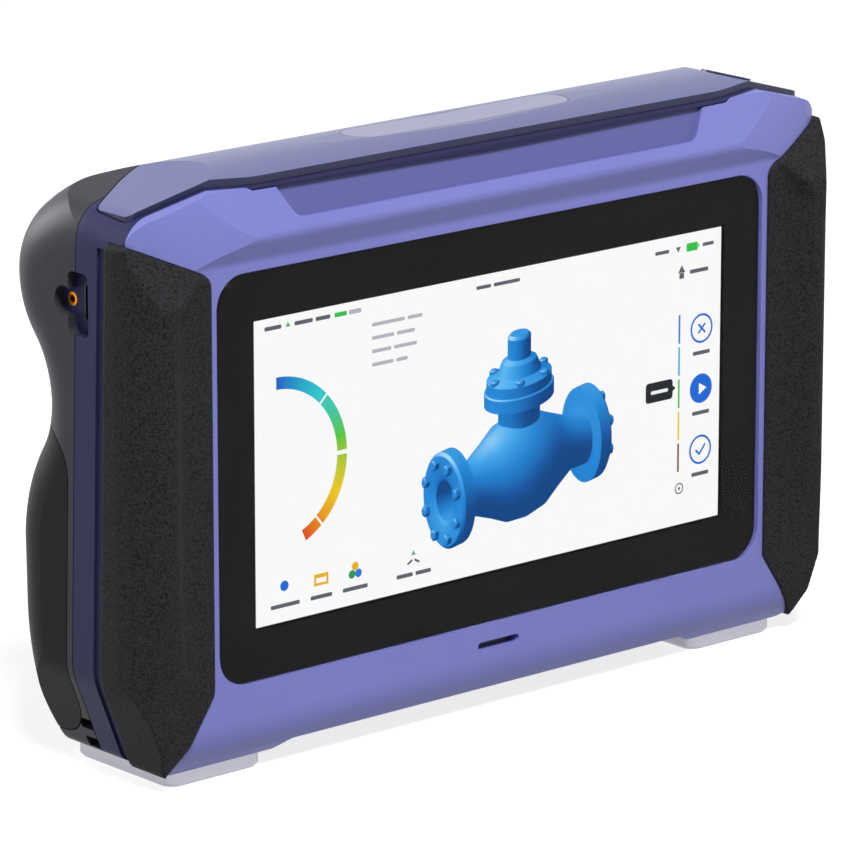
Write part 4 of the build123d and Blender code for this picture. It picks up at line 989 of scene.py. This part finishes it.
@dataclass
class Screen:
    """What the display shows: a scanning page with a gauge, buttons and a scanned part, in marks alone.

    A mark's place is X and Z on the display, and each layer stands one step further to the front.
    """

    front: float = -21.15
    step: float = 0.07
    part_steps: float = 2.6
    middle: tuple[float, float] = (0.0, 65.7)
    size: tuple[float, float] = (138.6, 70.6)
    rim: float = 1.8
    corner_parts: int = 4
    ink: str = "#5E626B"
    faint: str = "#B4B7BD"
    blue: str = "#1E69D8"
    green: str = "#35C24A"
    amber: str = "#E8B420"
    tag_colour: str = "#26282E"
    word_corner: float = 0.25
    word_gap: float = 0.8
    top_row: float = 97.0
    state_row: float = 95.9
    list_top: float = 93.2
    list_pitch: float = 2.93
    list_words: tuple[tuple[float, float], ...] = ((9.2, 4.2), (6.2, 5.0), (5.4, 6.4), (6.0, 3.2))
    scale_top: tuple[float, float] = (55.0, 77.5)
    scale_pitch: float = 7.42
    scale_colours: tuple[str, ...] = ("#3F7FD0", "#3FB4D8", "#4CC24C", "#E2CE3A", "#8A4A46")
    button_column: float = 61.8
    stop_row: float = 76.7
    play_row: float = 62.8
    done_row: float = 48.6
    button_size: tuple[float, float] = (6.8, 6.8)
    button_line: float = 0.5
    label_drop: float = 5.6
    tag: tuple[float, float] = (48.8, 64.3)
    dial: tuple[float, float] = (55.4, 40.6)
    foot_row: float = 35.8
    gauge_middle: tuple[float, float] = (-61.5, 66.7)
    gauge_radius: float = 19.4
    gauge_width: float = 2.7
    gauge_sides: int = 240
    gauge_span: tuple[float, float] = (-66.0, 90.0)
    gauge_gaps: tuple[float, ...] = (44.0, 0.0, -50.0)
    gauge_gap: float = 1.6
    gauge_colours: tuple[str, ...] = ("#E0481E", "#F0C81E", "#58C83C", "#2CC8D2", "#1E5CC8")

    def build(self, material: Material) -> None:
        """Draw the page.

        Args:
            material: The lit picture's material.
        """
        pieces = [self.draw(mark) for mark in self.marks()]
        pieces += [self.gauge(), ScannedPart().build(self.front - self.part_steps * self.step)]
        settle(join(pieces, "screen_picture"), material)

    def words(
        self, x: float, z: float, lengths: tuple[float, ...], colour: str, high: float = 1.0
    ) -> list[Mark]:
        """Set a line of bars in the place of words.

        Args:
            x: Where the line starts.
            z: Its height on the display.
            lengths: Length of each bar.
            colour: Colour of the bars.
            high: Height of the bars.

        Returns:
            The bars.
        """
        bars = []
        for length in lengths:
            place = (x + length / 2, z)
            bars.append(Mark(Shape.BAR, place, (length, high), colour, corner=self.word_corner))
            x += length + self.word_gap
        return bars

    def marks(self) -> list[Mark]:
        """List the marks of the page."""
        rim = Mark(Shape.BAR, self.middle, self.size, "#0A0A0A", line=self.rim)
        return [rim] + self.head() + self.side() + self.foot()

    def head(self) -> list[Mark]:
        """List the marks along the top.

        Returns:
            The marks.
        """
        top, state = self.top_row, self.state_row
        marks = self.words(-64.6, top, (4.6,), self.ink, 0.9)
        marks.append(Mark(Shape.ARROW, (-58.2, top), (1.5, 1.5), self.green, turn=90))
        marks += self.words(-56.4, top, (5.0, 4.0), self.ink, 0.9)
        marks += self.words(-45.4, top, (3.4,), self.green)
        marks += self.words(-41.4, top, (3.4,), self.faint)
        for line, lengths in enumerate(self.list_words):
            marks += self.words(-35.0, self.list_top - self.list_pitch * line, lengths, self.faint, 0.8)
        marks += self.words(-5.4, 96.5, (4.2, 7.6), self.ink, 0.8)
        marks += self.words(47.4, state, (4.2,), self.ink, 0.8)
        marks += [
            Mark(Shape.ARROW, (54.4, 96.0), (1.7, 1.7), self.ink, turn=-90),
            Mark(Shape.BAR, (58.6, state), (3.4, 1.9), self.green, corner=0.3),
            Mark(Shape.BAR, (60.6, state), (0.4, 0.8), self.green),
            Mark(Shape.ARROW, (55.5, 91.0), (2.3, 2.5), self.ink, turn=90),
            Mark(Shape.BAR, (55.5, 89.7), (1.4, 1.3), self.ink),
        ]
        marks += self.words(61.8, state, (3.4,), self.ink, 0.8)
        return marks + self.words(58.0, 90.2, (5.6,), self.ink, 0.9)

    def side(self) -> list[Mark]:
        """List the marks along the right side: the colour scale, the buttons, the tag and the dial.

        Returns:
            The marks.
        """
        marks = []
        x, top = self.scale_top
        for step, colour in enumerate(self.scale_colours):
            marks.append(Mark(Shape.BAR, (x, top - self.scale_pitch * step), (0.55, 6.6), colour))
        middle, line = self.button_column, self.button_line
        for z, edge in ((self.stop_row, line), (self.play_row, 0.0), (self.done_row, line)):
            marks.append(Mark(Shape.DISC, (middle, z), self.button_size, self.blue, line=edge))
            marks += self.words(59.2, z - self.label_drop, (5.2,), self.ink, 0.9)
        for turn in (45, -45):
            marks.append(Mark(Shape.BAR, (middle, self.stop_row), (3.0, line), self.blue, turn=turn, layer=1))
        return marks + [
            Mark(Shape.ARROW, (61.9, self.play_row), (3.1, 3.1), WHITE, layer=1),
            Mark(Shape.BAR, (60.9, 48.1), (1.6, line), self.blue, turn=-45, layer=1),
            Mark(Shape.BAR, (62.3, self.done_row), (3.0, line), self.blue, turn=50, layer=1),
            Mark(Shape.BAR, self.tag, (8.2, 4.6), self.tag_colour, corner=0.8, layer=3),
            Mark(Shape.ARROW, (53.1, self.tag[1]), (1.4, 1.8), self.tag_colour, layer=3),
            Mark(Shape.BAR, self.tag, (5.2, 0.8), "#F4F4F4", corner=self.word_corner, layer=4),
            Mark(Shape.DISC, self.dial, (2.6, 2.6), self.ink, line=0.3),
            Mark(Shape.DISC, self.dial, (0.7, 0.7), self.ink),
        ]

    def foot(self) -> list[Mark]:
        """List the marks along the foot.

        Returns:
            The marks.
        """
        marks = [
            Mark(Shape.DISC, (-59.6, 40.1), (2.3, 2.3), self.blue),
            Mark(Shape.BAR, (-49.4, 39.6), (4.0, 2.6), self.amber, line=0.6),
            Mark(Shape.BAR, (-49.4, 40.2), (2.6, 0.4), self.amber),
            Mark(Shape.DISC, (-40.8, 39.0), (1.9, 1.9), "#2E9C4E"),
            Mark(Shape.DISC, (-39.0, 39.0), (1.9, 1.9), "#2C7CD8"),
            Mark(Shape.DISC, (-39.9, 40.7), (1.9, 1.9), self.amber),
            Mark(Shape.ARROW, (-23.4, 40.4), (1.5, 1.5), "#5AB06A", turn=90),
            Mark(Shape.BAR, (-24.4, 38.6), (1.6, 0.5), self.ink, turn=30),
            Mark(Shape.BAR, (-22.4, 38.6), (1.6, 0.5), self.ink, turn=-30),
        ]
        for x, lengths in ((-63.4, (8.0,)), (-52.4, (6.0,)), (-43.4, (7.0,)), (-28.2, (4.6, 4.4))):
            marks += self.words(x, self.foot_row, lengths, self.ink, 0.9)
        return marks

    def stand(self, piece: Object, place: tuple[float, float], layer: int = 0, turn: float = 0.0) -> None:
        """Stand a flat piece on the display.

        Args:
            piece: The piece, lying round the origin.
            place: X and Z of its middle.
            layer: Its layer on the display.
            turn: How far it is turned, in degrees.
        """
        spot = Vector((place[0], self.front - self.step * (1 + layer), place[1])) * MM
        upright = Matrix.Rotation(QUARTER, 4, "X") @ Matrix.Rotation(math.radians(turn), 4, "Z")
        piece.matrix_world = Matrix.Translation(spot) @ upright

    def draw(self, mark: Mark) -> Object:
        """Draw a mark.

        Args:
            mark: The mark.

        Returns:
            The flat piece.
        """
        deselect()
        if mark.shape is Shape.BAR:
            bpy.ops.mesh.primitive_plane_add(size=1.0)
        else:
            bpy.ops.mesh.primitive_circle_add(
                vertices=mark.shape.value, radius=0.5, fill_type="NGON", rotation=(0, 0, -QUARTER)
            )
        piece = bpy.context.active_object
        bpy.ops.object.transform_apply(location=False, rotation=True, scale=False)
        piece.scale = (mark.size[0] * MM, mark.size[1] * MM, 1.0)
        bpy.ops.object.transform_apply(location=False, rotation=False, scale=True)
        begin_edit(piece)
        if mark.corner:
            bpy.ops.mesh.bevel(offset=mark.corner * MM, segments=self.corner_parts, affect="VERTICES")
        if mark.line:
            bpy.ops.mesh.select_all(action="SELECT")
            bpy.ops.mesh.inset(thickness=mark.line * MM)
            bpy.ops.mesh.delete(type="FACE")
        end_edit()
        paint(piece, [linear(mark.colour)] * len(piece.data.loops))
        self.stand(piece, mark.place, mark.layer, mark.turn)
        return piece

    def bearing(self, face: MeshPolygon) -> float:
        """Angle of a face about the gauge's middle, in degrees."""
        return math.degrees(math.atan2(face.center.y, face.center.x))

    def gauge(self) -> Object:
        """Draw the coloured arc with its gaps.

        Returns:
            The flat arc.
        """
        deselect()
        bpy.ops.mesh.primitive_circle_add(
            vertices=self.gauge_sides, radius=self.gauge_radius * MM, fill_type="NGON"
        )
        arc = bpy.context.active_object
        begin_edit(arc)
        bpy.ops.mesh.inset(thickness=self.gauge_width * MM)
        bpy.ops.mesh.delete(type="FACE")
        end_edit()
        low, high = self.gauge_span
        for face in arc.data.polygons:
            angle = self.bearing(face)
            gap = any(abs(angle - at) < self.gauge_gap / 2 for at in self.gauge_gaps)
            face.select = gap or not low < angle < high
        bpy.ops.object.mode_set(mode="EDIT")
        bpy.ops.mesh.delete(type="FACE")
        end_edit()
        colours = []
        for face in arc.data.polygons:
            share = (self.bearing(face) - low) / (high - low)
            colours += [blend(self.gauge_colours, share)] * face.loop_total
        paint(arc, colours)
        self.stand(arc, self.gauge_middle)
        return arc


@dataclass
class Lenses:
    """Coated front lenses in the barrels behind the lens window.

    A place is X and the radius there. The profile's radii are shares of it, and bulge scales its heights.
    """

    height: float = 106.4
    seat: float = 21.21
    bulge: float = 1.45
    places: tuple[tuple[float, float], ...] = ((-72.0, 3.6), (72.0, 3.6), (12.0, 3.5), (-16.0, 2.0))
    profile: Profile = (
        (1.0, 0.0), (1.0, 0.1), (0.93, 0.2), (0.75, 0.36), (0.5, 0.5), (0.25, 0.57), (0.05, 0.59),
    )

    def build(self, material: Material) -> None:
        """Make the lenses.

        Args:
            material: The coated glass.
        """
        facing = Matrix.Rotation(-QUARTER, 4, "X")
        pieces = []
        for x, radius in self.places:
            lens = turned(tuple((share * radius, high * self.bulge) for share, high in self.profile))
            lens.matrix_world = Matrix.Translation((x * MM, self.seat * MM, self.height * MM)) @ facing
            pieces.append(lens)
        settle(join(pieces, "front_lenses"), material)


@dataclass
class PrintedBorder:
    """The printed border of the screen glass, a hair behind the glass so that both are seen clean."""

    behind: float = 0.03

    def build(self, node: Object, material: Material) -> None:
        """Make the border.

        Args:
            node: The CAD node of the print.
            material: The ink.
        """
        border = merged_copy(node, "printed_border")
        border.location.y = self.behind * MM
        join([border], "printed_border")
        settle(border, material, ("glass_mask",))


def white_where_seen(tree: NodeTree) -> NodeSocket:
    """Tell the rays that see a backdrop: from the camera, from gloss and through glass.

    Args:
        tree: The tree of the floor or of the world.

    Returns:
        One for such a ray and zero for one that only lights.
    """
    path = add_node(tree, "ShaderNodeLightPath")
    seen = path.outputs["Is Camera Ray"]
    for other in ("Is Glossy Ray", "Is Transmission Ray"):
        seen = add_node(
            tree, "ShaderNodeMath", {"operation": "MAXIMUM"}, {0: seen, 1: path.outputs[other]}
        ).outputs[0]
    return seen


@dataclass(frozen=True)
class Lamp:
    """A soft square lamp: its place and side in metres, and its power in watts."""

    name: str
    place: Point
    size: float
    power: float


@dataclass
class Studio:
    """Floor, lamps, sky and camera, in metres."""

    camera_place: Point = (-0.83470, -0.96169, 0.40080)
    camera_turn: Point = (75.048, 0.0, -40.903)
    lens: float = 253.1
    sensor: float = 36.0
    clip: tuple[float, float] = (0.01, 50.0)
    floor_size: float = 12.0
    floor_colour: str = "#A8A8A8"
    floor_roughness: float = 0.9
    floor_glow: float = 0.8
    sky: float = 0.12
    aim: Point = (0.0, 0.0, 0.06)
    lamps: tuple[Lamp, ...] = (
        Lamp("key_lamp", (-0.5, -1.0, 1.65), 0.5, 42.0),
        Lamp("dome_lamp", (-1.3, 0.8, 1.0), 0.5, 4.0),
        Lamp("right_lamp", (1.6, -0.6, 0.5), 0.6, 2.5),
        Lamp("rear_lamp", (-0.4, 1.9, 0.5), 0.6, 16.0),
    )

    def build(self) -> None:
        """Make the stage."""
        self.add_floor()
        self.add_sky()
        for lamp in self.lamps:
            self.add_lamp(lamp)
        self.add_camera()

    def add_floor(self) -> None:
        """Lay the pale floor, white to the eye where it is lit."""
        deselect()
        bpy.ops.mesh.primitive_plane_add(size=self.floor_size)
        floor = bpy.context.active_object
        floor.name = "floor"
        material = bpy.data.materials.new("pale_floor")
        material.use_nodes = True
        tree = material.node_tree
        shader = tree.nodes["Principled BSDF"]
        adjust(shader, {"Base Color": linear(self.floor_colour), "Roughness": self.floor_roughness})
        adjust(shader, {"Specular IOR Level": 0.0, "Emission Color": linear(WHITE)})
        glow = add_node(
            tree, "ShaderNodeMath", {"operation": "MULTIPLY", 1: self.floor_glow}, {0: white_where_seen(tree)}
        )
        tree.links.new(glow.outputs[0], shader.inputs["Emission Strength"])
        floor.data.materials.append(material)

    def add_sky(self) -> None:
        """Give the world an even light, white where it is seen."""
        world = bpy.data.worlds.new("studio_sky")
        bpy.context.scene.world = world
        world.use_nodes = True
        tree = world.node_tree
        back = tree.nodes["Background"]
        adjust(back, {"Color": linear(WHITE)})
        level = add_node(
            tree, "ShaderNodeMapRange", {"To Min": self.sky, "To Max": 1.0}, {"Value": white_where_seen(tree)}
        )
        tree.links.new(level.outputs["Result"], back.inputs["Strength"])

    def add_lamp(self, lamp: Lamp) -> None:
        """Add a lamp that looks at the middle of the object.

        Args:
            lamp: The lamp.
        """
        data = bpy.data.lights.new(lamp.name, "AREA")
        data.size = lamp.size
        data.energy = lamp.power
        stand = bpy.data.objects.new(lamp.name, data)
        bpy.context.scene.collection.objects.link(stand)
        stand.location = lamp.place
        stand.rotation_euler = (Vector(self.aim) - Vector(lamp.place)).to_track_quat("-Z", "Y").to_euler()

    def add_camera(self) -> None:
        """Stand the camera where the photograph was taken from."""
        data = bpy.data.cameras.new("camera")
        data.sensor_width = self.sensor
        data.lens = self.lens
        data.clip_start, data.clip_end = self.clip
        camera = bpy.data.objects.new("camera", data)
        bpy.context.scene.collection.objects.link(camera)
        camera.location = self.camera_place
        camera.rotation_euler = [math.radians(a) for a in self.camera_turn]
        bpy.context.scene.camera = camera


@dataclass
class Wardrobe:
    """The materials by slot, and the dressing of the CAD nodes."""

    made: dict[Slot, Material] = field(default_factory=dict)

    def build(self) -> None:
        """Make every material of the record."""
        for slot, finish in FINISHES.items():
            self.made[slot] = finish.make()

    def dress(self, nodes: dict[str, Object]) -> None:
        """Give each CAD node the finish of its slot.

        Args:
            nodes: The CAD nodes by name.
        """
        for name, node in sorted(nodes.items()):
            slot = Slot(node.material_slots[0].material.name)
            node.material_slots[0].material = self.made[slot]
            LOG.info("dressed %s in %s", name, slot.value)


def main() -> None:
    """Build the scene."""
    logging.basicConfig(level=logging.INFO, format="%(message)s")
    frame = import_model()
    bpy.context.scene.view_settings.view_transform = "Standard"
    wardrobe = Wardrobe()
    wardrobe.build()
    wardrobe.dress(frame["nodes"])
    Grips().build(frame["nodes"], wardrobe.made[Slot.RUBBER])
    PrintedBorder().build(frame["nodes"]["glass_mask"], wardrobe.made[Slot.PRINT])
    Screen().build(PICTURE.make())
    Lenses().build(LENS_COAT.make())
    Studio().build()


if __name__ == "__main__":
    main()
